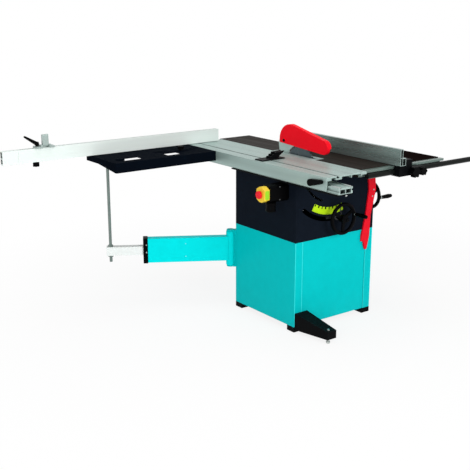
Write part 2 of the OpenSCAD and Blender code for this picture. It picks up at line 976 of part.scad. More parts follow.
module carriage() {
    y0 = carriage_y0;
    y1 = carriage_y1;
    left_x = rod_xs[0] + roller_l;
    right_x = rod_xs[1] + roller_l;
    thin_x = carriage_x1 - edge_thin_w - chamber_wall;
    mid_x = (right_x + thin_x) / 2;
    color("#c2cac5") difference() {
        union() {
            box3(carriage_x0, carriage_x1, y0, y1, carriage_z0, table_z);
            box3(carriage_x0, carriage_x0 + skirt_t, y0, y1, table_z - skirt_h, table_z);
        }
        box3(carriage_x1 - edge_thin_w, carriage_x1 + over, y0 - over, y1 + over,
            carriage_z0 - over, table_z - edge_thin_t);
        box3(tslot_x - tslot_mouth / 2, tslot_x + tslot_mouth / 2, y0 - over, y1 + over,
            table_z - tslot_depth, table_z + over);
        box3(tslot_x - tslot_cavity / 2, tslot_x + tslot_cavity / 2, y0 - over, y1 + over,
            table_z - tslot_depth, table_z - tslot_lip);
        for (p = [[left_x, tslot_x - tslot_cavity / 2 - chamber_wall],
            [right_x, mid_x - chamber_wall / 2], [mid_x + chamber_wall / 2, thin_x]])
            box3(p[0], p[1], y0 - over, y1 + over, carriage_z0 - over, table_z - chamber_roof);
        rod_x(carriage_x0 - over, carriage_x0 + skirt_t + over, lock_y, lock_z, lock_pin_r + fit);
    }
}
module carriage_lock_lever() {
    color("#17191c") {
        along_x(carriage_x0 - gap - lock_t, carriage_x0 - gap)
            two_circles([lock_y, lock_z], [lock_y + lock_l, lock_z - lock_fall], lock_r0, lock_r1);
        rod_x(carriage_x0 - lock_t, carriage_x0 + skirt_t, lock_y, lock_z, lock_pin_r);
    }
}

// Outrigger, a folded frame open below
module outrigger_section(inset) {
    polygon([[outrig_y0 + inset, outrig_z1 - inset],
        [outrig_y0 + inset, outrig_z1 - outrig_front_h - inset],
        [outrig_y0 + outrig_taper, outrig_z1 - outrig_rear_h - inset],
        [outrig_y1 - inset, outrig_z1 - outrig_rear_h - inset], [outrig_y1 - inset, outrig_z1 - inset]]);
}
module outrigger_plan(inset) {
    r = outrig_corner_r - inset;
    x0 = outrig_x0 + inset;
    x1 = outrig_x1 - inset;
    y0 = outrig_y0 + inset;
    y1 = outrig_y1 - inset;
    translate([0, 0, outrig_z1 - 2 * outrig_front_h]) linear_extrude(2 * outrig_front_h) {
        translate([x0, y0 + r]) square([x1 - x0, y1 - y0 - r]);
        translate([x0 + r, y0]) square([x1 - x0 - r, y1 - y0]);
        translate([x0 + r, y0 + r]) circle(r = r);
    }
}
module outrigger_form(inset) {
    intersection() {
        along_x(outrig_x0, outrig_x1) outrigger_section(inset);
        outrigger_plan(inset);
    }
}
module window(x_in, w) {
    box3(outrig_x0 + x_in, outrig_x0 + x_in + w, outrig_y0 + window_in, outrig_y0 + window_in + window_d,
        outrig_z1 - outrig_front_h, outrig_z1 + over);
}
module outrigger() {
    color("#1b1f24") {
        difference() {
            outrigger_form(0);
            outrigger_form(outrig_t);
            window(left_window_in, left_window_w);
            window(right_window_in, right_window_w);
            rod_z(outrig_z1 - outrig_t - over, outrig_z1 + over, pivot_x, pivot_y - swivel_arc_r,
                stud_r + fit);
        }
        difference() {
            box3(seat_x - seat_w / 2, seat_x + seat_w / 2, outrig_y0 + outrig_t, outrig_y1 - outrig_t,
                outrig_z1 - outrig_rear_h - outrig_t, outrig_z1 - outrig_t);
            window(left_window_in, left_window_w);
        }
        rod_z(outrig_z1 - outrig_t, fence_z0 + pivot_h, pivot_x, pivot_y, pivot_r);
    }
}

// Crosscut fence, a hollow profile with a slot along its top
module crosscut_fence() {
    web = fence_z0 + fence_h * fence_web_share;
    color("#c2cac5") difference() {
        box3(fence_x0, fence_x1, fence_y0, fence_y0 + fence_t, fence_z0, fence_z1);
        box3(fence_x0 - over, fence_x1 + over, fence_y0 + fence_wall, fence_y0 + fence_t - fence_wall,
            fence_z0 + fence_wall, web - fence_wall / 2);
        box3(fence_x0 - over, fence_x1 + over, fence_y0 + fence_wall, fence_y0 + fence_t - fence_wall,
            web + fence_wall / 2, fence_z1 - fence_slot_d - fence_slot_wall);
        box3(fence_x0 - over, fence_x1 + over, pivot_y - fence_slot_w / 2, pivot_y + fence_slot_w / 2,
            fence_z1 - fence_slot_d, fence_z1 + over);
        rod_z(fence_z0 - over, fence_z0 + fence_wall + over, pivot_x, pivot_y, pivot_r + fit);
        rod_z(fence_z0 - over, fence_z0 + fence_wall + over, fence_x0 + ext_knob_in, pivot_y,
            ext_stud_r + fit);
    }
}
module swivel_plate() {
    r = swivel_arc_r;
    color("#17191c") translate([pivot_x, pivot_y, outrig_z1 + gap])
        linear_extrude(swivel_t - gap) difference() {
            union() {
                ring_sector(pivot_r + fit, r + swivel_edge, -90 - swivel_spread, -90 + swivel_spread);
                translate([-fence_t, -fence_t / 2]) square([2 * fence_t, fence_t]);
            }
            circle(r = pivot_r + fit);
            arc_slot(r, swivel_slot_r, -90 - swivel_max, -90 + swivel_max);
        }
}
module swivel_knob() {
    color("#17191c") translate([pivot_x, pivot_y - swivel_arc_r, 0]) {
        translate([0, 0, fence_z0 + gap]) lobed_knob(knob_r, knob_h, knob_neck_r, knob_neck_h);
        translate([0, 0, outrig_z1 - outrig_t]) cylinder(r = stud_r, h = outrig_t + swivel_t + gap);
    }
}
module fence_extension() {
    y0 = fence_y0 + fence_wall + ext_clear;
    y1 = fence_y0 + fence_t - fence_wall - ext_clear;
    z0 = fence_z0 + fence_wall + ext_clear;
    z1 = fence_z0 + fence_h * fence_web_share - fence_wall / 2 - ext_clear;
    color("#c2cac5") difference() {
        union() {
            box3(fence_x0 - ext_block_l, fence_x0 - gap, fence_y0, fence_y0 + fence_t, fence_z0, fence_z1);
            box3(fence_x0 - ext_block_l / 2, fence_x0 + bar_in_l, y0, y1, z0, z1);
        }
        box3(fence_x0 - ext_block_l - over, fence_x0 - fence_wall, fence_y0 + fence_wall,
            fence_y0 + fence_t - fence_wall, z1 + fence_wall, fence_z1 - fence_wall);
        box3(fence_x0 - ext_block_l - over, fence_x0 + bar_in_l + over, y0 + fence_wall, y1 - fence_wall,
            z0 + fence_wall, z1 - fence_wall);
    }
}
module extension_knob() {
    color("#17191c") translate([fence_x0 + ext_knob_in, pivot_y, fence_z0 - gap]) rotate([180, 0, 0]) {
        lobed_knob(ext_knob_r, ext_knob_h, knob_neck_r, knob_neck_h / 2);
        translate([0, 0, -fence_wall - gap]) cylinder(r = ext_stud_r, h = fence_wall + gap);
    }
}

// Flip stop on the fence
module stop_block() {
    flap_x0 = stop_x0 + flap_in;
    color("#c2cac5") {
        difference() {
            union() {
                box3(stop_x0, stop_x0 + stop_w, fence_y0 - stop_front, fence_y0 + fence_t, fence_z1 + gap,
                    fence_z1 + stop_h);
                for (x = [flap_x0 - ear_t, flap_x0 + flap_w])
                    box3(x, x + ear_t, fence_y0 - stop_front, fence_y0 + flap_back, fence_z1 + gap,
                        fence_z1 + ear_h);
                box3(stop_x0, stop_x0 + stop_w, pivot_y - stop_key_w / 2, pivot_y + stop_key_w / 2,
                    fence_z1 - stop_key_d, fence_z1 + stop_h);
            }
            box3(flap_x0 - gap, flap_x0 + flap_w + gap, fence_y0 - stop_front - over,
                fence_y0 + flap_back, fence_z1, fence_z1 + ear_h + over);
            rod_x(flap_x0 - ear_t - over, flap_x0 + flap_w + ear_t + over, flap_y, flap_z,
                flap_pin_r + fit);
            rod_z(fence_z1 - stop_key_d, fence_z1 + stop_h + over, stop_x0 + lever_in, pivot_y,
                stop_stud_r + fit);
        }
    }
}
module stop_flap() {
    flap_x0 = stop_x0 + flap_in;
    color("silver") {
        along_x(flap_x0, flap_x0 + flap_w)
            two_circles([flap_y, flap_z], [flap_y, flap_z + flap_h - flap_t], flap_t / 2, flap_t / 2 - gap);
        rod_x(flap_x0 - ear_t, flap_x0 + flap_w + ear_t, flap_y, flap_z, flap_pin_r);
    }
}
module stop_lever() {
    x = stop_x0 + lever_in;
    z = fence_z1 + stop_h + gap;
    color("#17191c") {
        rod_z(z, z + lever_hub_h, x, pivot_y, lever_hub_r);
        rod_z(fence_z1 - stop_key_d, z, x, pivot_y, stop_stud_r);
        translate([0, pivot_y + lever_r, 0]) rotate([90, 0, 0]) linear_extrude(2 * lever_r)
            two_circles([x, z + lever_hub_h - lever_r * 2], [x - lever_l, z + lever_hub_h + lever_rise],
                lever_r * 2, lever_r);
    }
}

// Edging shoe keyed into the carriage slot
module edging_shoe() {
    x0 = tslot_x - shoe_left;
    color("#17191c") {
        box3(x0, x0 + shoe_w, shoe_y0, shoe_y0 + shoe_d, table_z + gap, table_z + shoe_t);
        box3(tslot_x - shoe_key_w / 2, tslot_x + shoe_key_w / 2, shoe_y0, shoe_y0 + shoe_d,
            table_z - shoe_key_d, table_z + shoe_t);
        for (y = [shoe_y0 + shoe_claw_w, shoe_y0 + shoe_d - 2 * shoe_claw_w])
            along_y(y, y + shoe_claw_w) translate([x0, table_z + shoe_t / 2])
                polygon([for (s = shoe_jaw_shares) [s[0] * shoe_w, s[1] * shoe_h]]);
    }
}

// Swing arm under the outrigger
module at_arm() {
    translate([hinge_x, hinge_y, 0]) rotate([0, 0, 180 - arm_angle]) children();
}
module arm_hinge_bracket() {
    z0 = arm_z - hinge_h / 2 - gap;
    z1 = arm_z + hinge_h / 2 + gap;
    x0 = -half_w - bracket_side;
    y_mid = half_d + bracket_t / 2;
    color("darkturquoise") {
        box3(x0, x0 + bracket_w, half_d, half_d + bracket_t, z0 - ear_plate, z1 + ear_plate);
        for (z = [z0 - ear_plate, z1]) {
            rod_z(z, z + ear_plate, hinge_x, hinge_y, ear_r);
            translate([0, 0, z]) linear_extrude(ear_plate)
                polygon([[x0, y_mid], [x0 + bracket_w, y_mid], [hinge_x + ear_r, hinge_y],
                    [hinge_x - ear_r, hinge_y]]);
        }
        rod_z(z0 - ear_plate, z1 + ear_plate, hinge_x, hinge_y, hinge_pin_r);
    }
}
module swing_arm() {
    color("turquoise") at_arm() {
        difference() {
            union() {
                rod_z(arm_z - hinge_h / 2, arm_z + hinge_h / 2, 0, 0, hinge_r);
                box3(arm_root, arm_len, -arm_w / 2, arm_w / 2, arm_z - arm_h / 2, arm_z + arm_h / 2);
            }
            box3(hinge_r + arm_wall, arm_len + over, -arm_w / 2 + arm_wall, arm_w / 2 - arm_wall,
                arm_z - arm_h / 2 + arm_wall, arm_z + arm_h / 2 - arm_wall);
            rod_z(arm_z - hinge_h, arm_z + hinge_h, 0, 0, hinge_pin_r + fit);
        }
    }
}
module arm_end_cap() {
    color("#17191c") at_arm() {
        difference() {
            box3(arm_len, arm_len + arm_cap_l, -arm_w / 2 - arm_cap_over, arm_w / 2 + arm_cap_over,
                arm_z - arm_h / 2 - arm_cap_over, arm_z + arm_h / 2 + arm_cap_over);
            box3(arm_len - over, arm_len + arm_cap_l + over, -tube_w / 2 - gap, tube_w / 2 + gap,
                arm_z - tube_h / 2 - gap, arm_z + tube_h / 2 + gap);
        }
        for (s = [-1, 1])
            translate([arm_len - arm_roller_in, -arm_w / 2 + arm_wall, arm_z])
                translate([0, 0, s * (tube_h / 2 + gap + arm_roller_r)])
                    rotate([-90, 0, 0]) cylinder(r = arm_roller_r, h = arm_w - 2 * arm_wall);
    }
}
module arm_tube() {
    color("gainsboro") at_arm() difference() {
        box3(tube_in, strut_reach + tube_end, -tube_w / 2, tube_w / 2, arm_z - tube_h / 2,
            arm_z + tube_h / 2);
        box3(tube_in - over, strut_reach + tube_end + over, -tube_w / 2 + tube_wall, tube_w / 2 - tube_wall,
            arm_z - tube_h / 2 + tube_wall, arm_z + tube_h / 2 - tube_wall);
        rod_z(arm_z - tube_h, arm_z + tube_h, strut_reach, 0, strut_r);
    }
}
module support_strut() {
    top = outrig_z1 - outrig_rear_h - outrig_t - gap;
    color("gainsboro") at_arm() translate([strut_reach, 0, 0]) {
        rod_z(arm_z - strut_low, top, 0, 0, strut_r);
        rod_z(top - strut_pad_h, top, 0, 0, strut_pad_r);
        for (z = [arm_z - tube_h / 2 - nut_h, arm_z + tube_h / 2])
            translate([0, 0, z]) cylinder(r = nut_r, h = nut_h, $fn = 6);
    }
}

// Tilting saw unit
module trunnion_brackets() {
    low = tilt_at_z(stud_b_r, stud_angle) - bracket_low;
    color("dimgray") for (s = [-1, 1]) {
        y0 = s > 0 ? bracket_y : -bracket_y - trunnion_t;
        inner = s > 0 ? bracket_y - trunnion_t : -bracket_y;
        outer = s > 0 ? bracket_y : -bracket_y + trunnion_t;
        box3(blade_x + bracket_left, blade_x + bracket_right, y0, y0 + trunnion_t, low, under_table);
        for (r = [stud_a_r, stud_b_r])
            rod_y(inner, outer, tilt_at_x(r, stud_angle), tilt_at_z(r, stud_angle), guide_r);
    }
    color("dimgray") difference() {
        box3(hanger_x, hanger_x + hanger_t, tilt_y - hanger_w / 2, tilt_y + hanger_w / 2,
            tilt_z - hanger_w / 2, under_table);
        rod_x(hanger_x - over, hanger_x + hanger_t + over, tilt_y, tilt_z, shaft_r + fit);
    }
}
module trunnion_plate(y0, y1) {
    along_y(y0, y1) difference() {
        tilt_sector(plate_r0, plate_r1, plate_b0, plate_b1);
        for (r = [stud_a_r, stud_b_r])
            tilt_slot(r, guide_r + gap, stud_angle - tilt_max - slot_end, stud_angle + slot_end);
    }
}
module sector_gear() {
    step = 360 / sector_teeth;
    along_y(sector_y - sector_t / 2, sector_y + sector_t / 2) {
        tilt_sector(sector_r - sector_band, sector_r - tooth_h, sector_b0, sector_b1);
        tilt_sector(sector_web_r, sector_r - tooth_h, sector_b0, sector_b0 + sector_web_angle);
        for (b = [sector_b0:step:sector_b1 - step])
            tilt_sector(sector_r - 2 * tooth_h, sector_r, b, b + step * tooth_share);
    }
}
module tilt_frame() {
    y0 = -bracket_y + gap;
    y1 = bracket_y - gap;
    top = table_z - plate_top;
    low = table_z - tie_low;
    bolster_z = table_z - bolster_drop;
    color("slategray") difference() {
        union() {
            trunnion_plate(y0, y0 + trunnion_t);
            trunnion_plate(y1 - trunnion_t, y1);
            box3(height_x - lobe_w / 2, height_x + lobe_w / 2, y0, y0 + trunnion_t, height_z - lobe_low,
                table_z - plate_r1 + lobe_low);
            box3(tie_x0, tie_x1, y0 + trunnion_t, y1 - trunnion_t, top - tie_t, top);
            box3(tie_x0, tie_x1, y0 + trunnion_t, column_ys[0], low, low + tie_t);
            box3(tie_x0, tie_x1, column_ys[1], y1 - trunnion_t, low, low + tie_t);
            for (y = column_ys) rod_z(low, top, column_x, y, column_r);
            sector_gear();
            box3(tie_x0, tie_x1, y0 + trunnion_t, sector_y + sector_t / 2, low, low + sector_band);
            rod_y(-half_d - sleeve_out, y0 + trunnion_t, height_x, height_z, sleeve_r);
            box3(lift_x - bolster_w / 2, lift_x + bolster_w / 2, y0 + trunnion_t,
                lift_y + lift_r * 2, bolster_z - bolster_t, bolster_z);
        }
        rod_y(-half_d - sleeve_out - over, y0 + trunnion_t + over, height_x, height_z, shaft_r + fit);
        rod_z(bolster_z - bolster_t - over, bolster_z + over, lift_x, lift_y, lift_r + fit);
    }
}
module angle_pointer() {
    y1 = -half_d - scale_t - gap;
    color("white") {
        along_y(y1 - pointer_t, y1) difference() {
            union() {
                translate([height_x, height_z]) circle(r = sleeve_r + pointer_w);
                tilt_sector(height_arc_r - pointer_w, height_arc_r + pointer_w, pointer_b, height_beta);
                tilt_sector(scale_r0 + pointer_gap, height_arc_r + pointer_w, pointer_b,
                    pointer_b + pointer_tip_b);
            }
            translate([height_x, height_z]) circle(r = sleeve_r);
        }
    }
}
module angle_scale() {
    y0 = -half_d - scale_t;
    color("yellowgreen") along_y(y0, -half_d) difference() {
        tilt_sector(scale_r0, scale_r1, scale_b0, scale_b1);
        for (b = [scale_b0 + scale_step_b / 2:scale_step_b:scale_b1])
            tilt_sector(scale_r0 - over, scale_r0 + scale_notch_d, b, b + scale_notch_b);
    }
}

// Arbor housing, which slides on the columns and carries the motor plate
module arbor_housing() {
    x0 = blade_x + house_left;
    x1 = x0 + house_w;
    z0 = arbor_z - bush_low;
    plate_x0 = pulley_x0 + pulley_w + over;
    color("slategray") difference() {
        union() {
            rod_x(x0, x1, arbor_y, arbor_z, house_r);
            box3(x1 - bush_r, x1, column_ys[0], column_ys[1], z0, z0 + bush_h);
            for (y = column_ys) {
                rod_z(z0, z0 + bush_h, column_x, y, bush_r);
                box3(x1 - bush_r, column_x, y - bush_r, y + bush_r, z0, z0 + bush_h);
            }
            box3(plate_x0, plate_x0 + plate_t, arbor_y - plate_up_w / 2, arbor_y + plate_up_w / 2,
                table_z - plate_split, z0 + bush_h);
            box3(plate_x0, plate_x0 + plate_t, arbor_y - plate_low_w / 2, arbor_y + plate_low_w / 2,
                motor_z - motor_r, table_z - plate_split);
            for (y = column_ys)
                box3(plate_x0, plate_x0 + plate_t, min(y, arbor_y), max(y, arbor_y), z0, z0 + bush_h);
            rod_z(z0, z0 + lug_h, lift_x, lift_y, lug_r);
            box3(lift_x - lug_r, lift_x + lug_r, lift_y, arbor_y, z0, z0 + lug_h);
            box3(x0 - knife_arm_w + plate_t, x0 + plate_t, arbor_y + house_r / 2,
                knife_seat_y + knife_arm_w, arbor_z - knife_arm_h / 2, arbor_z + knife_arm_h / 2);
            rod_x(blade_x + knife_t / 2, x0, knife_seat_y, arbor_z, knife_seat_r);
        }
        rod_x(x0 - knife_arm_w, x1 + over, arbor_y, arbor_z, arbor_r + fit);
        for (y = column_ys) rod_z(z0 - over, z0 + bush_h + over, column_x, y, column_r + fit);
        rod_z(z0 - over, z0 + lug_h + over, lift_x, lift_y, lift_r + fit);
        rod_x(plate_x0 - over, plate_x0 + plate_t + over, arbor_y, motor_z, motor_shaft_r + gap);
        rod_x(blade_x - over, x0 - knife_arm_w + plate_t + house_left, arbor_y, arbor_z, flange_r + gap);
    }
}
module arbor_shaft() {
    b0 = blade_x - blade_t / 2;
    b1 = blade_x + blade_t / 2;
    color("silver") {
        rod_x(b0 - flange_t - nut_w, pulley_x0, arbor_y, arbor_z, arbor_r);
        rod_x(b1, b1 + spacer_t, arbor_y, arbor_z, flange_r);
        rod_x(b0, b1, arbor_y, arbor_z, bore_r);
        rod_x(b0 - flange_t, b0, arbor_y, arbor_z, flange_r);
        translate([b0 - flange_t - nut_w, arbor_y, arbor_z]) rotate([0, 90, 0])
            cylinder(r = arbor_nut_r, h = nut_w, $fn = 6);
        rod_x(pulley_x0, pulley_x0 + pulley_w, arbor_y, arbor_z, arbor_pulley_r);
    }
}
module saw_blade() {
    gullet_share = 0.92;
    back_share = 0.985;
    step = 360 / teeth;
    tooth_shares = [[0, gullet_share], [0.3, back_share], [0.85, 1], [0.9, gullet_share]];
    color("lightsteelblue") along_x(blade_x - blade_t / 2, blade_x + blade_t / 2)
        translate([arbor_y, arbor_z]) difference() {
            polygon([for (i = [0:teeth - 1], t = tooth_shares)
                on_circle([0, 0], blade_r * t[1], (i + t[0]) * step)]);
            circle(r = bore_r);
        }
}
module motor() {
    x0 = pulley_x0 + pulley_w + over + plate_t;
    color("#30363c") {
        rod_x(x0, x0 + motor_len, arbor_y, motor_z, motor_r - fin_h);
        for (i = [0:fin_count - 1])
            translate([x0, arbor_y, motor_z]) rotate([360 * i / fin_count, 0, 0])
                translate([0, -fin_w / 2, 0]) cube([motor_len * fin_share, fin_w, motor_r]);
    }
}
module motor_pulley() {
    color("silver") {
        rod_x(pulley_x0, pulley_x0 + pulley_w, arbor_y, motor_z, motor_pulley_r);
        rod_x(pulley_x0, pulley_x0 + pulley_w + over + plate_t - gap, arbor_y, motor_z, motor_shaft_r);
    }
}
module drive_belt() {
    x0 = pulley_x0 + (pulley_w - belt_w) / 2;
    a = [arbor_y, arbor_z];
    b = [arbor_y, motor_z];
    color("#101214") along_x(x0, x0 + belt_w) difference() {
        two_circles(a, b, arbor_pulley_r + gap + belt_t, motor_pulley_r + gap + belt_t);
        two_circles(a, b, arbor_pulley_r + gap, motor_pulley_r + gap);
    }
}
module lift_screw() {
    color("silver") {
        rod_z(height_z + shaft_r + bevel_h / 2, table_z - lift_top, lift_x, lift_y, lift_r);
        translate([lift_x, lift_y, height_z + shaft_r + bevel_h / 2])
            cylinder(r1 = bevel_r / 2, r2 = bevel_r, h = bevel_h);
    }
}

// Riving knife behind the blade, and the hood over the blade
module riving_knife() {
    top = table_z + knife_top;
    back = arbor_y + knife_back;
    low = table_z - knife_low;
    color("silver") along_x(blade_x - knife_t / 2, blade_x + knife_t / 2) difference() {
        polygon([[arbor_y, table_z], [arbor_y, low], [back, low], [back, table_z],
            [back + knife_nose_back, table_z + knife_mid], [back - knife_nose_back, top],
            [arbor_y + knife_top_front, top]]);
        translate([arbor_y, arbor_z]) circle(r = blade_r + knife_clear);
        translate([guard_screw_y, table_z + guard_screw_z]) circle(r = guard_screw_r);
    }
}
module guard_outline(inset) {
    two_circles([guard_rear_y, table_z + guard_rear_z], [guard_nose_y, table_z + guard_nose_z],
        guard_rear_r - inset, guard_nose_r - inset);
}
module blade_guard() {
    x0 = blade_x - guard_w / 2;
    x1 = blade_x + guard_w / 2;
    far = 2 * guard_rear_r;
    front = guard_nose_y - far;
    rear = guard_rear_y + far;
    low_front = table_z + guard_low_front;
    low_rear = table_z + guard_low_rear;
    color("red") {
        difference() {
            along_x(x0, x1) guard_outline(0);
            along_x(x0 + guard_t, x1 - guard_t) guard_outline(guard_t);
            along_x(x0 - over, x1 + over)
                polygon([[front, low_front], [front, low_front - far], [rear, low_front - far],
                    [rear, low_rear], [guard_rear_y + guard_rear_r, low_rear], [guard_nose_y, low_front]]);
            box3(blade_x + guard_w / 4, x1 + over, front, rear, table_z, low_rear + guard_cheek / 2);
            box3(blade_x - knife_t / 2 - gap, blade_x + knife_t / 2 + gap, guard_rear_y, rear, table_z,
                table_z + knife_top + gap);
        }
        rod_x(x0 - guard_boss_h, x1 + guard_boss_h, guard_screw_y, table_z + guard_screw_z, guard_screw_r);
        for (x = [x0 - guard_boss_h, x1])
            rod_x(x, x + guard_boss_h, guard_screw_y, table_z + guard_screw_z, guard_boss_r);
    }
}

// A handwheel on +Z with three spokes, and the pin that its grip turns on
module handwheel(r, pin_a) {
    rotate_extrude() translate([r, 0]) circle(r = rim_r);
    translate([0, 0, -hub_l / 2]) cylinder(r = hub_r, h = hub_l);
    for (a = [30:120:270]) rotate([0, 0, a])
        translate([hub_r / 2, -spoke_w / 2, -spoke_t / 2]) cube([r - hub_r / 2, spoke_w, spoke_t]);
    rotate([0, 0, pin_a]) translate([r, 0, 0]) cylinder(r = grip_pin_r, h = grip_stand + grip_l);
}
module wheel_grip(r, pin_a) {
    rotate([0, 0, pin_a]) translate([r, 0, grip_stand + gap]) difference() {
        rotate_extrude() polygon([[grip_pin_r + fit, 0], [grip_r * grip_neck_share, 0],
            [grip_r, grip_l * grip_neck_share], [grip_r * grip_neck_share, grip_l],
            [grip_pin_r + fit, grip_l]]);
    }
}
module at_height_wheel() {
    translate([height_x, height_wheel_y, height_z]) rotate([90, 0, 0]) children();
}
module at_tilt_wheel() {
    translate([tilt_wheel_x, tilt_y, tilt_z]) rotate([90, 0, 90]) children();
}
module height_handwheel() {
    color("#17191c") {
        at_height_wheel() handwheel(height_wheel_r, height_grip_a);
        rod_y(height_wheel_y, lift_y - bevel_r - gap, height_x, height_z, shaft_r);
        translate([height_x, lift_y - bevel_r - gap - bevel_h, height_z]) rotate([-90, 0, 0])
            cylinder(r1 = bevel_r, r2 = bevel_r / 2, h = bevel_h);
    }
}
module height_grip() { color("#17191c") at_height_wheel() wheel_grip(height_wheel_r, height_grip_a); }
module tilt_handwheel() {
    color("#17191c") {
        at_tilt_wheel() handwheel(tilt_wheel_r, tilt_grip_a);
        rod_x(blade_x - worm_l / 2, tilt_wheel_x, tilt_y, tilt_z, shaft_r);
        rod_x(blade_x - worm_l / 2, blade_x + worm_l / 2, tilt_y, tilt_z, worm_r);
    }
}
module tilt_grip() { color("#17191c") at_tilt_wheel() wheel_grip(tilt_wheel_r, tilt_grip_a); }

// Rip fence and the carrier that hooks round the bar
module rip_fence_carrier() {
    x0 = rip_x0 - carrier_left;
    z0 = bar_z - bar_r - carrier_low;
    color("#17191c") difference() {
        union() {
            box3(x0, x0 + carrier_w, rip_y0, carrier_y1, z0, bar_z + bar_r + carrier_cap);
            box3(rip_x0, bracket_x + rip_bracket_w, rip_y0, carrier_y1, bar_z, rip_z0);
            box3(x0, x0 + carrier_w, rip_y0, bar_y + carrier_hook, z0, bar_z - bar_r / 2);
            box3(bracket_x, bracket_x + rip_bracket_w, rip_y0, rip_y0 + rip_bracket_d, rip_z0 - over,
                rip_z0 + rip_bracket_h);
        }
        rod_x(x0 - over, x0 + carrier_w + over, bar_y, bar_z, bar_r + gap);
        for (x = [carrier_knob_x, fence_knob_x])
            rod_y(rip_y0 - over, rip_y0 + carrier_knob_h, x0 + x, bar_z, carrier_stud_r + fit);
    }
}
module rip_fence() {
    y1 = rip_y0 + rip_len;
    color("#b9c3bd") difference() {
        union() {
            box3(rip_x0, rip_x0 + rip_t, rip_y0, y1, rip_z0 + gap, rip_z0 + rip_h);
            box3(rip_x0, rip_x0 + rip_base_w, rip_y0, y1, rip_z0 + gap, rip_z0 + rip_base_h);
        }
        box3(rip_x0 + rip_wall, rip_x0 + rip_t - rip_wall, rip_y0 - over, y1 + over,
            rip_z0 + rip_base_h + rip_wall, rip_z0 + rip_h - rip_wall);
        box3(rip_x0 + rip_wall, rip_x0 + rip_t - rip_wall, rip_y0 - over, y1 + over,
            rip_z0 + rip_wall, rip_z0 + rip_base_h);
        box3(rip_x0 + rip_t, rip_x0 + rip_base_w - rip_wall, rip_y0 - over, y1 + over,
            rip_z0 + rip_wall, rip_z0 + rip_base_h - rip_wall);
    }
}
module clamp_knob(x, r) {
    translate([rip_x0 - carrier_left + x, rip_y0 - gap, bar_z]) rotate([90, 0, 0]) {
        lobed_knob(r, carrier_knob_h, r / 2, carrier_knob_neck);
        translate([0, 0, -carrier_knob_h + gap]) cylinder(r = carrier_stud_r, h = carrier_knob_h);
    }
}
module carrier_knob() { color("#17191c") clamp_knob(carrier_knob_x, carrier_knob_r); }
module fence_slide_knob() { color("#17191c") clamp_knob(fence_knob_x, fence_knob_r); }

// Switch box with a hinged cover and stop button
module switch_box() {
    x1 = -half_w;
    x0 = x1 - switch_d;
    y1 = switch_y0 + switch_w;
    z1 = switch_z0 + switch_h;
    color("#17191c") {
        along_x(x0, x1) polygon([[switch_y0 + switch_edge, switch_z0], [y1 - switch_edge, switch_z0],
            [y1, switch_z0 + switch_edge], [y1, z1 - switch_edge], [y1 - switch_edge, z1],
            [switch_y0 + switch_edge, z1], [switch_y0, z1 - switch_edge],
            [switch_y0, switch_z0 + switch_edge]]);
        rod_z(switch_z0 - inlet_h, switch_z0, x0 + inlet_in, switch_y0 + inlet_in, inlet_r);
    }
}
module switch_cover() {
    color("gold") difference() {
        along_x(cover_x0, cover_x0 + cover_d) polygon([[button_y - cover_flat / 2, cover_z0],
            [button_y + cover_flat / 2, cover_z0], [cover_y1, cover_z0 + cover_edge],
            [cover_y1, cover_z1 - cover_edge], [button_y + cover_flat / 2, cover_z1],
            [button_y - cover_flat / 2, cover_z1], [cover_y0, cover_z1 - cover_edge],
            [cover_y0, cover_z0 + cover_edge]]);
        rod_x(cover_x0 - over, cover_x0 + button_depth, button_y, button_z, button_stem_r + gap);
    }
}
module stop_button() {
    color("red") {
        rod_x(cover_x0 - button_press, cover_x0 + button_depth - button_press - gap, button_y, button_z,
            button_stem_r);
        rod_x(cover_x0 - button_press - button_head, cover_x0 - button_press, button_y, button_z, button_r);
    }
}

side_panels();
end_panels();
corner_feet();
stabiliser_foot();
levelling_screw();
upper_housing();
dust_outlet();
main_table();
rear_table();
right_table();
table_insert();
front_rail();
guide_bar();
rail_standoffs();
slide_beam();
beam_support();
beam_rods();
roller_cage();
carriage();
carriage_lock_lever();
outrigger();
crosscut_fence();
swivel_plate();
swivel_knob();
fence_extension();
extension_knob();
stop_block();
stop_flap();
stop_lever();
edging_shoe();
arm_hinge_bracket();
swing_arm();
arm_end_cap();
arm_tube();
support_strut();
trunnion_brackets();
tilt_frame();
angle_pointer();
angle_scale();
arbor_housing();
arbor_shaft();
saw_blade();
motor();
motor_pulley();
drive_belt();
lift_screw();
riving_knife();
blade_guard();
height_handwheel();
height_grip();
tilt_handwheel();
tilt_grip();
rip_fence_carrier();
rip_fence();
carrier_knob();
fence_slide_knob();
switch_box();
switch_cover();
stop_button();
push_stick();
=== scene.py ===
"""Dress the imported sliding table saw: finishes, fasteners, marks, studio and camera."""

from __future__ import annotations

import json
import logging
import math
from dataclasses import dataclass
from enum import Enum
from typing import Sequence

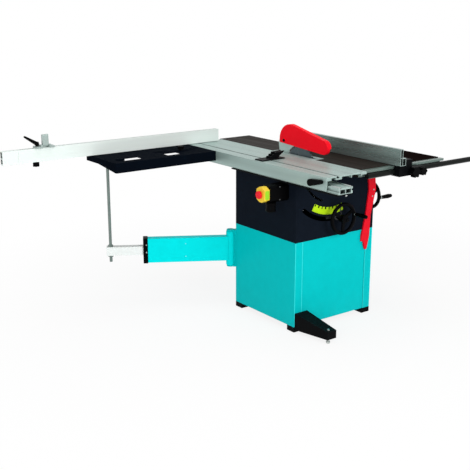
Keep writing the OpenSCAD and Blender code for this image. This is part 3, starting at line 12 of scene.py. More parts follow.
import bmesh
import bpy
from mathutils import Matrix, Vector

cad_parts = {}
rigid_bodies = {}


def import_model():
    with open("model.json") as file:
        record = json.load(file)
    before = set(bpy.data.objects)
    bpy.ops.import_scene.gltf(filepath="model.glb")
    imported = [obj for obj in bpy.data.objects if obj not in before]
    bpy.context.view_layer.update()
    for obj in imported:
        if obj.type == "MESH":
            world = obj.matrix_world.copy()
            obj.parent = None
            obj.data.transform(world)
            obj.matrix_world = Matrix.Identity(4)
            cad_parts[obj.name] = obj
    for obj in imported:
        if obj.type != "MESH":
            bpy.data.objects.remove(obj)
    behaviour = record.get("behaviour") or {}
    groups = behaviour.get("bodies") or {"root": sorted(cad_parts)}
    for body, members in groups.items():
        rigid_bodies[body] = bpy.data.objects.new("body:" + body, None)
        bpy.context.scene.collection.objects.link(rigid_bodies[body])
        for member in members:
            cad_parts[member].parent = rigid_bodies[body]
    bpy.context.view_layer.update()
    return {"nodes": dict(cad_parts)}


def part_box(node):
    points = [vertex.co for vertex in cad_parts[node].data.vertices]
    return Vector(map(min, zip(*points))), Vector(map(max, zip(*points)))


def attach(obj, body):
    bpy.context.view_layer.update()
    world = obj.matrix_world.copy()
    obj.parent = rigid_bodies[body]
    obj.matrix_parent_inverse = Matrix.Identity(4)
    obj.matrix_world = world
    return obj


LOG = logging.getLogger("sliding_table_saw")

Point = tuple[float, float, float]
Rgb = tuple[int, int, int]
Rgba = tuple[float, float, float, float]
Outline = tuple[tuple[float, float], ...]
Socket = bpy.types.NodeSocket

SEED = 7
WHITE: Rgba = (1.0, 1.0, 1.0, 1.0)

UP: Point = (0.0, 0.0, 1.0)
DOWN: Point = (0.0, 0.0, -1.0)
LEFT: Point = (-1.0, 0.0, 0.0)
RIGHT: Point = (1.0, 0.0, 0.0)
FRONT: Point = (0.0, -1.0, 0.0)


class Axis(Enum):
    """The three directions of the shared frame."""

    X = (1.0, 0.0, 0.0)
    Y = (0.0, 1.0, 0.0)
    Z = (0.0, 0.0, 1.0)


class Kind(Enum):
    """What a socket of a node tree carries."""

    FLOAT = "NodeSocketFloat"
    WHOLE = "NodeSocketInt"
    VECTOR = "NodeSocketVector"
    COLOUR = "NodeSocketColor"
    GEOMETRY = "NodeSocketGeometry"
    MATERIAL = "NodeSocketMaterial"


class Surface(Enum):
    """How a surface was made, which decides its texture."""

    ENAMEL = "enamel"
    GROUND = "ground"
    DRAWN = "drawn"
    CAST = "cast"
    MOULDED = "moulded"
    FOIL = "foil"


def linear(colour: Rgb) -> Rgba:
    """Turn an 8-bit display colour into linear light with full alpha.

    Args:
        colour: Red, green and blue from 0 to 255.

    Returns:
        Linear red, green and blue, and alpha.
    """
    knee, slope, offset, power = 0.04045, 12.92, 0.055, 2.4
    parts = []
    for value in colour:
        share = value / 255.0
        curved = ((share + offset) / (1.0 + offset)) ** power
        parts.append(share / slope if share <= knee else curved)
    return (*parts, 1.0)


def assign(item: object, **settings: object) -> None:
    """Set properties of an item by name."""
    for label, value in settings.items():
        setattr(item, label, value)


def put(name: str, data: bpy.types.ID) -> bpy.types.Object:
    """Put a new object into the scene.

    Args:
        name: Name of the object.
        data: Its mesh, light or camera.

    Returns:
        The object.
    """
    made = bpy.data.objects.new(name, data)
    bpy.context.scene.collection.objects.link(made)
    return made


@dataclass(frozen=True)
class Finish:
    """One finish: its colour, its sheen and how its surface was made.

    Args:
        name: Name of the material.
        slot: The record's slot that the finish belongs to.
        surface: How the surface was made.
        colour: Display colour.
        roughness: Mean roughness.
        metallic: Share of metal.
        coat: Weight of a clear coat.
        along: Direction of drawn or ground lines.
        grain: Grains in a metre.
        relief: Height of the grain in metres.
        mottle: Share by which the colour wanders.
        scuff_and_edge_shading: How strongly the edges take their second colour.
        scuff_and_edge_shading_colour: Display colour of the edges, scuffed paint on some
            finishes and painted highlight or painted shade on others.
        dust: How much dust has settled on top.
        gloss: Level of the plain reflection, 0.5 for common plastic.
        inner_shade: Display colour of the painted shade on faces that look inwards, or None.
        hollow_shade: Display colour of the painted shade in narrow hollows and corners, or
            None.
    """

    name: str
    slot: str
    surface: Surface
    colour: Rgb
    roughness: float
    metallic: float = 0.0
    coat: float = 0.0
    along: Axis | None = None
    grain: float = 600.0
    relief: float = 0.0001
    mottle: float = 0.05
    scuff_and_edge_shading: float = 0.0
    scuff_and_edge_shading_colour: Rgb = (150, 150, 148)
    dust: float = 0.0
    gloss: float = 0.5
    inner_shade: Rgb | None = None
    hollow_shade: Rgb | None = None


class Paint:
    """The finishes of the machine."""

    # Edges take a lighter turquoise, a painted highlight; inward faces take a near-black
    # painted shade.
    CABINET = Finish("turquoise_enamel", "cabinet_paint", Surface.ENAMEL, (0, 194, 196),
                     0.44, grain=420.0, relief=0.00012, mottle=0.035, scuff_and_edge_shading=0.5,
                     scuff_and_edge_shading_colour=(30, 222, 222), dust=0.02, gloss=0.03, inner_shade=(10, 22, 24))
    # Pale turquoise bars along the cabinet's folds: a painted highlight where the folds
    # catch light.
    CREASE_HIGHLIGHT = Finish("painted_crease_highlight", "cabinet_paint", Surface.ENAMEL, (60, 230, 230),
                  0.44, grain=420.0, relief=0.00008, mottle=0.06, gloss=0.05)
    # Edges take a dark teal: painted shade along the arm's edges.
    ARM = Finish("turquoise_arm_enamel", "arm_paint", Surface.ENAMEL, (0, 222, 224),
                 0.42, grain=420.0, relief=0.00012, mottle=0.035, scuff_and_edge_shading=0.5,
                 scuff_and_edge_shading_colour=(0, 104, 108), dust=0.01, gloss=0.03)
    PLUG = Finish("turquoise_plug", "arm_paint", Surface.MOULDED, (120, 240, 240),
                  0.42, grain=420.0, relief=0.00005, gloss=0.07)
    # Edges take a dark teal and hollows a darker one: painted shade.
    HINGE = Finish("turquoise_hinge_enamel", "arm_paint", Surface.ENAMEL, (0, 198, 200),
                   0.42, grain=420.0, relief=0.00012, mottle=0.035, scuff_and_edge_shading=0.6,
                   scuff_and_edge_shading_colour=(0, 112, 116), dust=0.01, gloss=0.03, hollow_shade=(0, 70, 74))
    # Inward faces take near-black: painted shade inside the housing.
    HOUSING = Finish("blue_black_enamel", "housing_paint", Surface.ENAMEL, (17, 23, 32),
                     0.52, grain=950.0, relief=0.00022, mottle=0.10, scuff_and_edge_shading=0.35,
                     scuff_and_edge_shading_colour=(46, 52, 62), dust=0.006, gloss=0.01, inner_shade=(5, 6, 8))
    NAVY = Finish("dark_navy_enamel", "black_paint", Surface.ENAMEL, (7, 12, 20),
                  0.74, grain=800.0, relief=0.00016, mottle=0.10, scuff_and_edge_shading=0.4,
                  scuff_and_edge_shading_colour=(36, 43, 54), dust=0.002, gloss=0.005)
    BLACK = Finish("black_enamel", "black_paint", Surface.ENAMEL, (8, 9, 11),
                   0.45, grain=760.0, relief=0.00016, mottle=0.10, scuff_and_edge_shading=0.5,
                   scuff_and_edge_shading_colour=(38, 40, 42), dust=0.004, gloss=0.03)
    TABLE = Finish("oiled_casting", "table_top", Surface.GROUND, (34, 29, 25),
                   0.50, along=Axis.Y, grain=900.0, relief=0.00006,
                   mottle=0.30, scuff_and_edge_shading=0.7, scuff_and_edge_shading_colour=(150, 144, 134), gloss=0.02)
    WING = Finish("dark_oiled_wing", "table_top", Surface.GROUND, (24, 17, 16),
                  0.55, along=Axis.Y, grain=900.0, relief=0.00006,
                  mottle=0.30, scuff_and_edge_shading=0.6, scuff_and_edge_shading_colour=(120, 116, 108), gloss=0.0)
    # Narrow hollows take near-black: painted shade.
    RUN_Y = Finish("anodised_along_y", "aluminium", Surface.DRAWN, (158, 179, 174),
                   0.42, metallic=0.4, along=Axis.Y, grain=520.0, relief=0.00006,
                   mottle=0.13, scuff_and_edge_shading=0.7, scuff_and_edge_shading_colour=(244, 248, 246), gloss=0.25,
                   hollow_shade=(12, 15, 17))
    # Narrow hollows take near-black: painted shade.
    RUN_X = Finish("anodised_along_x", "aluminium", Surface.DRAWN, (228, 237, 233),
                   0.42, metallic=0.2, along=Axis.X, grain=520.0, relief=0.00005,
                   mottle=0.05, scuff_and_edge_shading=0.6, scuff_and_edge_shading_colour=(250, 252, 251), gloss=0.25,
                   hollow_shade=(22, 26, 28))
    # Narrow hollows take near-black: painted shade.
    FENCE = Finish("anodised_rip_fence", "aluminium", Surface.DRAWN, (150, 168, 164),
                   0.30, metallic=0.75, along=Axis.Y, grain=520.0, relief=0.00005,
                   mottle=0.08, scuff_and_edge_shading=0.8, scuff_and_edge_shading_colour=(236, 242, 240), gloss=0.25,
                   hollow_shade=(16, 19, 20))
    # Edges take near-white, a painted highlight; hollows take near-black, painted shade.
    RAIL = Finish("plated_rail", "aluminium", Surface.DRAWN, (102, 120, 114),
                  0.32, metallic=0.4, along=Axis.X, grain=520.0, relief=0.00005,
                  mottle=0.08, scuff_and_edge_shading=0.9, scuff_and_edge_shading_colour=(240, 246, 244), gloss=0.25,
                  hollow_shade=(16, 19, 20))
    STOP = Finish("anodised_stop", "aluminium", Surface.DRAWN, (152, 166, 162),
                  0.34, metallic=0.5, along=Axis.Z, grain=520.0, relief=0.00004,
                  mottle=0.07, scuff_and_edge_shading=0.8, scuff_and_edge_shading_colour=(240, 246, 244), gloss=0.25)
    STEEL = Finish("bright_steel", "steel", Surface.DRAWN, (178, 186, 184),
                   0.24, metallic=0.95, along=Axis.X, grain=700.0, relief=0.00002,
                   mottle=0.05)
    BAR = Finish("oiled_round_bar", "steel", Surface.DRAWN, (15, 18, 17),
                 0.22, along=Axis.X, grain=700.0, relief=0.00002, mottle=0.06,
                 gloss=0.08)
    ROD = Finish("drawn_rod", "steel", Surface.DRAWN, (112, 126, 121),
                 0.24, metallic=0.35, along=Axis.Z, grain=600.0, relief=0.00003,
                 mottle=0.08)
    ZINC = Finish("zinc_plated", "steel", Surface.CAST, (184, 190, 187),
                  0.34, metallic=0.8, grain=900.0, relief=0.00003, mottle=0.12)
    DULL = Finish("dulled_screw", "steel", Surface.CAST, (92, 95, 96),
                  0.45, metallic=0.6, grain=900.0, relief=0.00003, mottle=0.12)
    TUBE = Finish("pale_tube", "steel", Surface.ENAMEL, (232, 236, 234),
                  0.55, grain=500.0, relief=0.00001, mottle=0.02,
                  gloss=0.1)
    BLADE = Finish("ground_blade", "blade_steel", Surface.GROUND, (96, 106, 112),
                   0.34, metallic=0.7, along=Axis.Z, grain=1300.0, relief=0.00002,
                   mottle=0.12)
    KNIFE = Finish("ground_knife", "blade_steel", Surface.GROUND, (196, 216, 211),
                   0.40, metallic=0.35, along=Axis.Y, grain=1300.0, relief=0.00002,
                   mottle=0.10)
    CASTING = Finish("grey_casting", "casting", Surface.CAST, (92, 96, 99),
                     0.62, metallic=0.3, grain=420.0, relief=0.0003, mottle=0.14,
                     scuff_and_edge_shading=0.5, scuff_and_edge_shading_colour=(150, 152, 152))
    MOTOR = Finish("motor_enamel", "motor_paint", Surface.ENAMEL, (84, 92, 98),
                   0.5, grain=700.0, relief=0.00018, scuff_and_edge_shading=0.4, scuff_and_edge_shading_colour=(140, 146, 150))
    RUBBER = Finish("belt_rubber", "belt_rubber", Surface.MOULDED, (22, 22, 22),
                    0.82, grain=1500.0, relief=0.0002, mottle=0.12)
    PLASTIC = Finish("black_moulding", "black_plastic", Surface.MOULDED, (2, 2, 3),
                     0.48, grain=1500.0, relief=0.00008, mottle=0.10, scuff_and_edge_shading=0.25,
                     scuff_and_edge_shading_colour=(24, 26, 26), gloss=0.04)
    GUARD = Finish("guard_moulding", "guard_red", Surface.MOULDED, (255, 16, 36),
                   0.46, grain=700.0, relief=0.00005, mottle=0.03, scuff_and_edge_shading=0.3,
                   scuff_and_edge_shading_colour=(255, 64, 74), gloss=0.06)
    STICK = Finish("stick_moulding", "guard_red", Surface.MOULDED, (228, 12, 36),
                   0.44, grain=700.0, relief=0.00006, mottle=0.05, scuff_and_edge_shading=0.35,
                   scuff_and_edge_shading_colour=(250, 84, 90), gloss=0.08)
    BUTTON = Finish("button_moulding", "button_red", Surface.MOULDED, (240, 8, 34),
                    0.28, coat=0.15, grain=900.0, relief=0.00003, mottle=0.04, gloss=0.12)
    YELLOW = Finish("cover_moulding", "cover_yellow", Surface.MOULDED, (240, 206, 62),
                    0.38, grain=900.0, relief=0.00005, mottle=0.06, scuff_and_edge_shading=0.6,
                    scuff_and_edge_shading_colour=(252, 244, 170), gloss=0.12)
    INLAY = Finish("cover_inlay", "scale_green", Surface.MOULDED, (156, 216, 40),
                   0.40, grain=900.0, relief=0.00004, mottle=0.06, gloss=0.12)
    SCALE = Finish("scale_foil", "scale_green", Surface.FOIL, (182, 222, 24),
                   0.46, grain=1600.0, relief=0.00002, mottle=0.06, gloss=0.08)
    NOTCH = Finish("scale_notch", "black_paint", Surface.FOIL, (14, 18, 16),
                   0.6, grain=1600.0, relief=0.00002, mottle=0.10, gloss=0.02)
    MARK = Finish("scale_mark", "black_paint", Surface.FOIL, (56, 66, 20),
                  0.5, grain=1600.0, relief=0.00002, mottle=0.10, gloss=0.08)
    POINTER = Finish("pointer_moulding", "pointer_white", Surface.MOULDED, (66, 68, 68),
                     0.42, grain=900.0, relief=0.00004, mottle=0.06, gloss=0.1)


class Graph:
    """A short way to lay and link nodes in one tree."""

    def __init__(self, tree: bpy.types.NodeTree) -> None:
        """Keep the tree that nodes go into."""
        self.tree = tree

    def node(self, kind: str, inputs: dict[str | int, object] | None = None,
             **settings: object) -> bpy.types.Node:
        """Add a node.

        Args:
            kind: Type of the node.
            inputs: Values or source sockets by input name or number.
            settings: Properties of the node.

        Returns:
            The node.
        """
        made = self.tree.nodes.new(kind)
        assign(made, **settings)
        self.fill(made, inputs or {})
        return made

    def fill(self, node: bpy.types.Node, inputs: dict[str | int, object]) -> None:
        """Set or link inputs of a node.

        Args:
            node: The node.
            inputs: Values or source sockets by input name or number.
        """
        for label, value in inputs.items():
            if isinstance(value, Socket):
                self.tree.links.new(value, node.inputs[label])
            else:
                node.inputs[label].default_value = value

    def math(self, operation: str, *values: object, **settings: object) -> Socket:
        """Return the result of an operation on values."""
        return self.node("ShaderNodeMath", dict(enumerate(values)), operation=operation,
                         **settings).outputs[0]

    def vector(self, operation: str, *values: object) -> Socket:
        """Return the vector that an operation on vectors gives."""
        return self.node("ShaderNodeVectorMath", dict(enumerate(values)),
                         operation=operation).outputs["Vector"]

    def measure(self, operation: str, *values: object) -> Socket:
        """Return the number that an operation on vectors gives."""
        return self.node("ShaderNodeVectorMath", dict(enumerate(values)),
                         operation=operation).outputs["Value"]

    def scaled(self, vector: object, by: object) -> Socket:
        """Return a vector times a value."""
        return self.node("ShaderNodeVectorMath", {0: vector, "Scale": by},
                         operation="SCALE").outputs["Vector"]

    def span(self, value: Socket, old: tuple[float, float],
             new: tuple[object, object] = (0.0, 1.0), **settings: object) -> Socket:
        """Move a value from one range to another and hold it there.

        Args:
            value: The value.
            old: Ends of the range that it comes from.
            new: Ends of the range that it goes to.
            settings: Properties of the node.

        Returns:
            The moved value.
        """
        return self.node("ShaderNodeMapRange", {
            "Value": value, "From Min": old[0], "From Max": old[1],
            "To Min": new[0], "To Max": new[1]}, **settings).outputs[0]

    def noise(self, place: Socket, scale: object, detail: float, **more: float) -> Socket:
        """Return the value of a noise over a place, with more of its inputs by name."""
        return self.node("ShaderNodeTexNoise", {
            "Vector": place, "Scale": scale, "Detail": detail, **more}).outputs[0]

    def normal(self) -> Socket:
        """Return the normal of the surface."""
        return self.node("ShaderNodeNewGeometry").outputs["Normal"]

    def height(self, vector: Socket) -> Socket:
        """Return the upright part of a vector."""
        return self.node("ShaderNodeSeparateXYZ", {0: vector}).outputs["Z"]


class Effect:
    """A shader group that several finishes share."""

    title = "effect"
    ins: tuple[str, ...] = ()
    out = "Mask"
    kinds = {"Place": Kind.VECTOR, "Stretch": Kind.VECTOR, "Colour": Kind.COLOUR}

    def __init__(self) -> None:
        """Make the group with its named sockets and lay its nodes."""
        self.tree = bpy.data.node_groups.new(self.title, "ShaderNodeTree")
        for way, labels in (("INPUT", self.ins), ("OUTPUT", (self.out,))):
            for label in labels:
                kind = self.kinds.get(label, Kind.FLOAT).value
                self.tree.interface.new_socket(label, in_out=way, socket_type=kind)
        self.graph = Graph(self.tree)
        self.start = self.graph.node("NodeGroupInput").outputs
        self.graph.node("NodeGroupOutput", {0: self.lay()})

    def pulled(self) -> Socket:
        """Return the place, stretched along drawn lines."""
        return self.graph.vector("MULTIPLY", self.start["Place"], self.start["Stretch"])

    def lay(self) -> Socket:
        """Lay the group's own nodes and return what it puts out."""
        raise NotImplementedError


class Grain(Effect):
    """Height of a surface's grain, stretched into lines where it was drawn."""

    title = "grain_height"
    ins = ("Place", "Stretch", "Scale")
    out = "Height"

    def lay(self) -> Socket:
        """Lay stretched noise and return the height."""
        return self.graph.noise(self.pulled(), self.start["Scale"], detail=3.0,
                                Roughness=0.6)


class Mottle(Effect):
    """A colour that wanders by a small share in broad and fine patches."""

    title = "mottled_colour"
    ins = ("Place", "Stretch", "Colour", "Low", "High")
    out = "Colour"

    def lay(self) -> Socket:
        """Scale the colour by stretched noise.

        Returns:
            The colour.
        """
        broad = self.graph.noise(self.pulled(), scale=22.0, detail=6.0, Roughness=0.62)
        share = self.graph.span(broad, (0.28, 0.72),
                                (self.start["Low"], self.start["High"]))
        return self.graph.scaled(self.start["Colour"], share)


class Sheen(Effect):
    """Roughness that wanders with smears and grain."""

    title = "uneven_sheen"
    ins = ("Place", "Stretch", "Low", "High")
    out = "Roughness"

    def lay(self) -> Socket:
        """Lay stretched noise and return the roughness."""
        smear = self.graph.noise(self.pulled(), scale=60.0, detail=5.0, Distortion=0.4)
        return self.graph.span(smear, (0.3, 0.7), (self.start["Low"], self.start["High"]))


class ScuffAndEdgeShading(Effect):
    """Mask of edges, broken up by noise, for scuffed paint and for painted edge highlight
    and shade.
    """

    title = "scuffs_and_painted_edge_shading"
    ins = ("Place", "Amount")
    edge_r = 0.0016

    def lay(self) -> Socket:
        """Find edges by how far a rounded normal leaves the real one.

        Returns:
            The mask.
        """
        graph = self.graph
        rounded = graph.node("ShaderNodeBevel", {"Radius": self.edge_r}, samples=4)
        match = graph.measure("DOT_PRODUCT", rounded.outputs[0], graph.normal())
        edge = graph.span(match, (0.985, 0.80))
        broken = graph.noise(self.start["Place"], scale=130.0, detail=5.0)
        patch = graph.span(broken, (0.36, 0.62), (0.2, 1.0))
        return graph.math("MULTIPLY", graph.math("MULTIPLY", edge, patch),
                          self.start["Amount"], use_clamp=True)


class Dust(Effect):
    """Mask of fine dust on what faces up and near the floor."""

    title = "settled_dust"
    ins = ("Place", "Amount")
    floor_reach = 0.16

    def lay(self) -> Socket:
        """Find faces that look up or lie low and break them up by noise.

        Returns:
            The mask.
        """
        graph = self.graph
        place = self.start["Place"]
        upward = graph.span(graph.height(graph.normal()), (0.4, 1.0))
        low = graph.span(graph.height(place), (self.floor_reach, 0.0), (0.0, 0.7))
        cloud = graph.noise(place, scale=38.0, detail=8.0, Roughness=0.7)
        patch = graph.span(cloud, (0.35, 0.7), (0.1, 1.0))
        both = graph.math("MULTIPLY", graph.math("MAXIMUM", upward, low), patch)
        return graph.math("MULTIPLY", both, self.start["Amount"], use_clamp=True)


class InwardShade(Effect):
    """Mask of the faces that look at the upright axis through the origin, where shade is
    painted.
    """

    title = "painted_inward_shade"
    ins = ("Place",)

    def lay(self) -> Socket:
        """Compare the normal with the spoke from that axis.

        Returns:
            The mask.
        """
        spoke = self.graph.vector("MULTIPLY", self.start["Place"], (1.0, 1.0, 0.0))
        match = self.graph.measure("DOT_PRODUCT", spoke, self.graph.normal())
        return self.graph.span(match, (-0.08, -0.12))


class CornerShade(Effect):
    """Mask of the piece's own narrow hollows and tight corners, where shade is painted."""

    title = "painted_corner_shade"
    reach = 0.035

    def lay(self) -> Socket:
        """Find where little of the sky is open and return the mask."""
        sky = self.graph.node("ShaderNodeAmbientOcclusion", {"Distance": self.reach},
                              samples=8, only_local=True)
        return self.graph.span(sky.outputs["AO"], (0.62, 0.22))


class PaintShop:
    """Turns finishes into materials, one material for each."""

    dust: Rgb = (176, 166, 148)
    line_share = 0.012
    spread = 0.06
    lined_spread = 0.10
    bump_share = 0.6

    def __init__(self) -> None:
        """Build the shared effects."""
        self.effects = {kind: kind().tree for kind in (Grain, Mottle, ScuffAndEdgeShading, Dust, InwardShade,
                                                       CornerShade, Sheen)}
        self._made: dict[str, bpy.types.Material] = {}

    def material(self, finish: Finish) -> bpy.types.Material:
        """Find the material of a finish, and make it on first use.

        Args:
            finish: The finish.

        Returns:
            Its material.
        """
        if finish.name not in self._made:
            self._made[finish.name] = self._mix(finish)
        return self._made[finish.name]

    def _stretch(self, finish: Finish) -> Point:
        """Return the scale of the grain along each axis, small along drawn lines."""
        along = finish.along.value if finish.along else (0.0, 0.0, 0.0)
        return tuple(self.line_share if part else 1.0 for part in along)

    def _mix(self, finish: Finish) -> bpy.types.Material:
        """Build the material of a finish.

        Args:
            finish: The finish to build.

        Returns:
            A material with procedural colour, roughness and relief.
        """
        made = bpy.data.materials.new(finish.name)
        made.use_nodes = True
        made.diffuse_color = linear(finish.colour)
        graph = Graph(made.node_tree)
        place = {"Place": graph.node("ShaderNodeTexCoord").outputs["Object"]}
        lines = {**place, "Stretch": self._stretch(finish)}
        colour = self._effect(graph, Mottle, {
            **lines, "Colour": linear(finish.colour), "Low": 1.0 - finish.mottle,
            "High": 1.0 + finish.mottle})
        # Colours laid over the mottle: the edge colour (scuffs on some finishes, painted
        # highlight or shade on others), dust, painted shade on inward faces and painted
        # shade in hollows.
        for wanted, kind, inputs, over in (
                (finish.scuff_and_edge_shading, ScuffAndEdgeShading, {**place, "Amount": finish.scuff_and_edge_shading}, finish.scuff_and_edge_shading_colour),
                (finish.dust, Dust, {**place, "Amount": finish.dust}, self.dust),
                (finish.inner_shade, InwardShade, place, finish.inner_shade),
                (finish.hollow_shade, CornerShade, {}, finish.hollow_shade)):
            if wanted:
                mask = self._effect(graph, kind, inputs)
                colour = graph.node("ShaderNodeMix", {0: mask, 6: colour, 7: linear(over)},
                                    data_type="RGBA").outputs[2]
        lined = finish.surface in (Surface.DRAWN, Surface.GROUND)
        spread = self.lined_spread if lined else self.spread
        rough = self._effect(graph, Sheen, {
            **lines, "Low": finish.roughness - spread, "High": finish.roughness + spread})
        height = self._effect(graph, Grain, {**lines, "Scale": finish.grain})
        relief = graph.node("ShaderNodeBump", {
            "Height": height, "Strength": self.bump_share, "Distance": finish.relief})
        graph.fill(made.node_tree.nodes["Principled BSDF"], {
            "Base Color": colour, "Roughness": rough, "Normal": relief.outputs[0],
            "Metallic": finish.metallic, "Coat Weight": finish.coat,
            "Specular IOR Level": finish.gloss})
        return made

    def _effect(self, graph: Graph, kind: type[Effect], inputs: dict[str, object]) -> Socket:
        """Add a shared effect to a material and return what it puts out."""
        return graph.node("ShaderNodeGroup", inputs,
                          node_tree=self.effects[kind]).outputs[0]


class RepeatTree:
    """A Geometry Nodes tree for a repeated item, evaluated into a plain mesh."""

    title = "repeat"
    fields: dict[str, Kind] = {}

    def __init__(self) -> None:
        """Make the tree with its named inputs and lay its nodes."""
        self.tree = bpy.data.node_groups.new(self.title, "GeometryNodeTree")
        self.tree.is_modifier = True
        face = self.tree.interface
        self.keys: dict[str, str] = {}
        for label, kind in {"Geometry": Kind.GEOMETRY, **self.fields,
                            "Material": Kind.MATERIAL}.items():
            socket = face.new_socket(label, in_out="INPUT", socket_type=kind.value)
            self.keys[label] = socket.identifier
        face.new_socket("Geometry", in_out="OUTPUT", socket_type=Kind.GEOMETRY.value)
        self.graph = Graph(self.tree)
        self.start = self.graph.node("NodeGroupInput").outputs
        whole = self.graph.node("GeometryNodeRealizeInstances", {0: self.lay()})
        coated = self.graph.node("GeometryNodeSetMaterial", {
            "Geometry": whole.outputs[0], "Material": self.start["Material"]})
        self.graph.node("NodeGroupOutput", {0: coated.outputs[0]})

    def lay(self) -> Socket:
        """Lay the tree's own nodes and return the instances."""
        raise NotImplementedError

    def row(self) -> Socket:
        """Return points from Start on, one Step apart."""
        return self.graph.node("GeometryNodeMeshLine", {
            "Count": self.start["Count"], "Start Location": self.start["Start"],
            "Offset": self.start["Step"]}, mode="OFFSET").outputs[0]

    def stand(self, points: Socket, item: Socket, **more: Socket) -> Socket:
        """Return an item set on every point, with more inputs by name."""
        return self.graph.node("GeometryNodeInstanceOnPoints", {
            "Points": points, "Instance": item, **more}).outputs[0]

    def grow(self, name: str, host: bpy.types.Mesh, material: bpy.types.Material,
             **values: object) -> bpy.types.Object:
        """Evaluate the tree on a host mesh.

        Args:
            name: Name of the new piece.
            host: Mesh whose points the items stand on.
            material: Material of the items.
            values: Values of the named inputs, with _ for a space.

        Returns:
            An object that holds the plain mesh.
        """
        made = put(name, host)
        grower = made.modifiers.new("repeat", "NODES")
        grower.node_group = self.tree
        for label, value in {"Material": material, **values}.items():
            grower[self.keys[label.replace("_", " ")]] = value
        view = bpy.context.evaluated_depsgraph_get()
        view.update()
        mesh = bpy.data.meshes.new_from_object(made.evaluated_get(view), depsgraph=view)
        made.modifiers.remove(grower)
        made.data = mesh
        mesh.name = name
        return made


class ScrewHeads(RepeatTree):
    """Screw heads with a chamfer and a socket, on points that face a way."""

    title = "screw_heads"
    fields = {"Radius": Kind.FLOAT, "Height": Kind.FLOAT, "Sides": Kind.WHOLE,
              "Socket Share": Kind.FLOAT, "Seed": Kind.WHOLE}
    chamfer_share = 0.3
    crown_share = 0.82
    depth_share = 0.6

    def extruded(self, mesh: Socket, top: Socket, by: object) -> bpy.types.Node:
        """Return a node that draws the top faces out."""
        return self.graph.node("GeometryNodeExtrudeMesh", {
            "Mesh": mesh, "Selection": top, "Offset Scale": by})

    def narrowed(self, drawn: bpy.types.Node, share: object) -> Socket:
        """Return a drawn mesh with its top faces scaled."""
        return self.graph.node("GeometryNodeScaleElements", {
            "Geometry": drawn.outputs["Mesh"], "Selection": drawn.outputs["Top"],
            "Scale": share}).outputs[0]

    def lay(self) -> Socket:
        """Lay one head and set it on every point.

        Returns:
            The heads.
        """
        graph, start = self.graph, self.start
        shank = graph.node("GeometryNodeMeshCylinder", {
            "Vertices": start["Sides"], "Radius": start["Radius"],
            "Depth": start["Height"]})
        lift = graph.math("MULTIPLY", start["Height"], self.chamfer_share)
        slope = self.extruded(shank.outputs["Mesh"], shank.outputs["Top"], lift)
        crown = self.narrowed(slope, self.crown_share)
        lip = self.extruded(crown, slope.outputs["Top"], 0.0)
        rim = self.narrowed(lip, start["Socket Share"])
        depth = graph.math("MULTIPLY", start["Height"], -self.depth_share)
        socket = self.extruded(rim, lip.outputs["Top"], depth)
        facing = graph.node("GeometryNodeInputNamedAttribute", {"Name": "facing"},
                            data_type="FLOAT_VECTOR")
        aim = graph.node("FunctionNodeAlignRotationToVector",
                         {"Vector": facing.outputs[0]}, axis="Z")
        turn = graph.node("FunctionNodeRandomValue", {
            0: (0.0, 0.0, 0.0), 1: (0.0, 0.0, math.tau), "Seed": start["Seed"]},
            data_type="FLOAT_VECTOR")
        turned = graph.node("FunctionNodeRotateRotation", {
            0: aim.outputs[0], 1: turn.outputs[0]}, rotation_space="LOCAL")
        return self.stand(start["Geometry"], socket.outputs["Mesh"],
                          Rotation=turned.outputs[0])


class LongRibs(RepeatTree):
    """A row of equal bars, one step apart."""

    title = "long_ribs"
    fields = {"Start": Kind.VECTOR, "Step": Kind.VECTOR, "Count": Kind.WHOLE,
              "Size": Kind.VECTOR}

    def lay(self) -> Socket:
        """Lay one bar, repeat it along a line and return the bars."""
        bar = self.graph.node("GeometryNodeMeshCube", {"Size": self.start["Size"]})
        return self.stand(self.row(), bar.outputs[0])


class ThreadRings(RepeatTree):
    """Rings one pitch apart on an upright axis that make up a thread."""

    title = "thread_rings"
    fields = {"Start": Kind.VECTOR, "Step": Kind.VECTOR, "Count": Kind.WHOLE,
              "Radius": Kind.FLOAT, "Wire": Kind.FLOAT}
    ring_steps = 28
    wire_steps = 6

    def lay(self) -> Socket:
        """Lay one ring and repeat it along a line.

        Returns:
            The rings.
        """
        circle, wire = (
            self.graph.node("GeometryNodeCurvePrimitiveCircle", {
                "Resolution": steps, "Radius": self.start[radius]}).outputs[0]
            for steps, radius in ((self.ring_steps, "Radius"), (self.wire_steps, "Wire")))
        ring = self.graph.node("GeometryNodeCurveToMesh", {0: circle, 1: wire})
        return self.stand(self.row(), ring.outputs[0])


class ArcTicks(RepeatTree):
    """Bars that stand on an arc in the XZ plane and point at its centre."""

    title = "arc_ticks"
    fields = {"Centre": Kind.VECTOR, "Radius": Kind.FLOAT, "First": Kind.FLOAT,
              "Gap": Kind.FLOAT, "Count": Kind.WHOLE, "Size": Kind.VECTOR}

    def lay(self) -> Socket:
        """Place a point for each tick and set a bar on it.

        Returns:
            The bars.
        """
        graph, start = self.graph, self.start
        row = graph.node("GeometryNodeMeshLine", {"Count": start["Count"]}, mode="OFFSET")
        number = graph.node("GeometryNodeInputIndex").outputs[0]
        angle = graph.math("MULTIPLY_ADD", number, start["Gap"], start["First"])
        spoke = graph.node("ShaderNodeCombineXYZ", {"X": graph.math("SINE", angle),
                                                    "Z": graph.math("COSINE", angle)})
        arm = graph.scaled(spoke.outputs[0], graph.math("MULTIPLY", start["Radius"], -1.0))
        placed = graph.node("GeometryNodeSetPosition", {
            "Geometry": row.outputs[0],
            "Position": graph.vector("ADD", arm, start["Centre"])})
        turn = graph.node("ShaderNodeCombineXYZ", {"Y": angle})
        bar = graph.node("GeometryNodeMeshCube", {"Size": start["Size"]})
        return self.stand(placed.outputs[0], bar.outputs[0], Rotation=turn.outputs[0])


@dataclass(frozen=True)
class Head:
    """Sizes of one kind of screw head.

    Args:
        radius: Radius in metres.
        height: Height in metres.
        sides: Sides, 6 for a hexagon.
        share: Width of the socket as a share of the crown.
    """

    radius: float
    height: float
    sides: int = 24
    share: float = 0.5


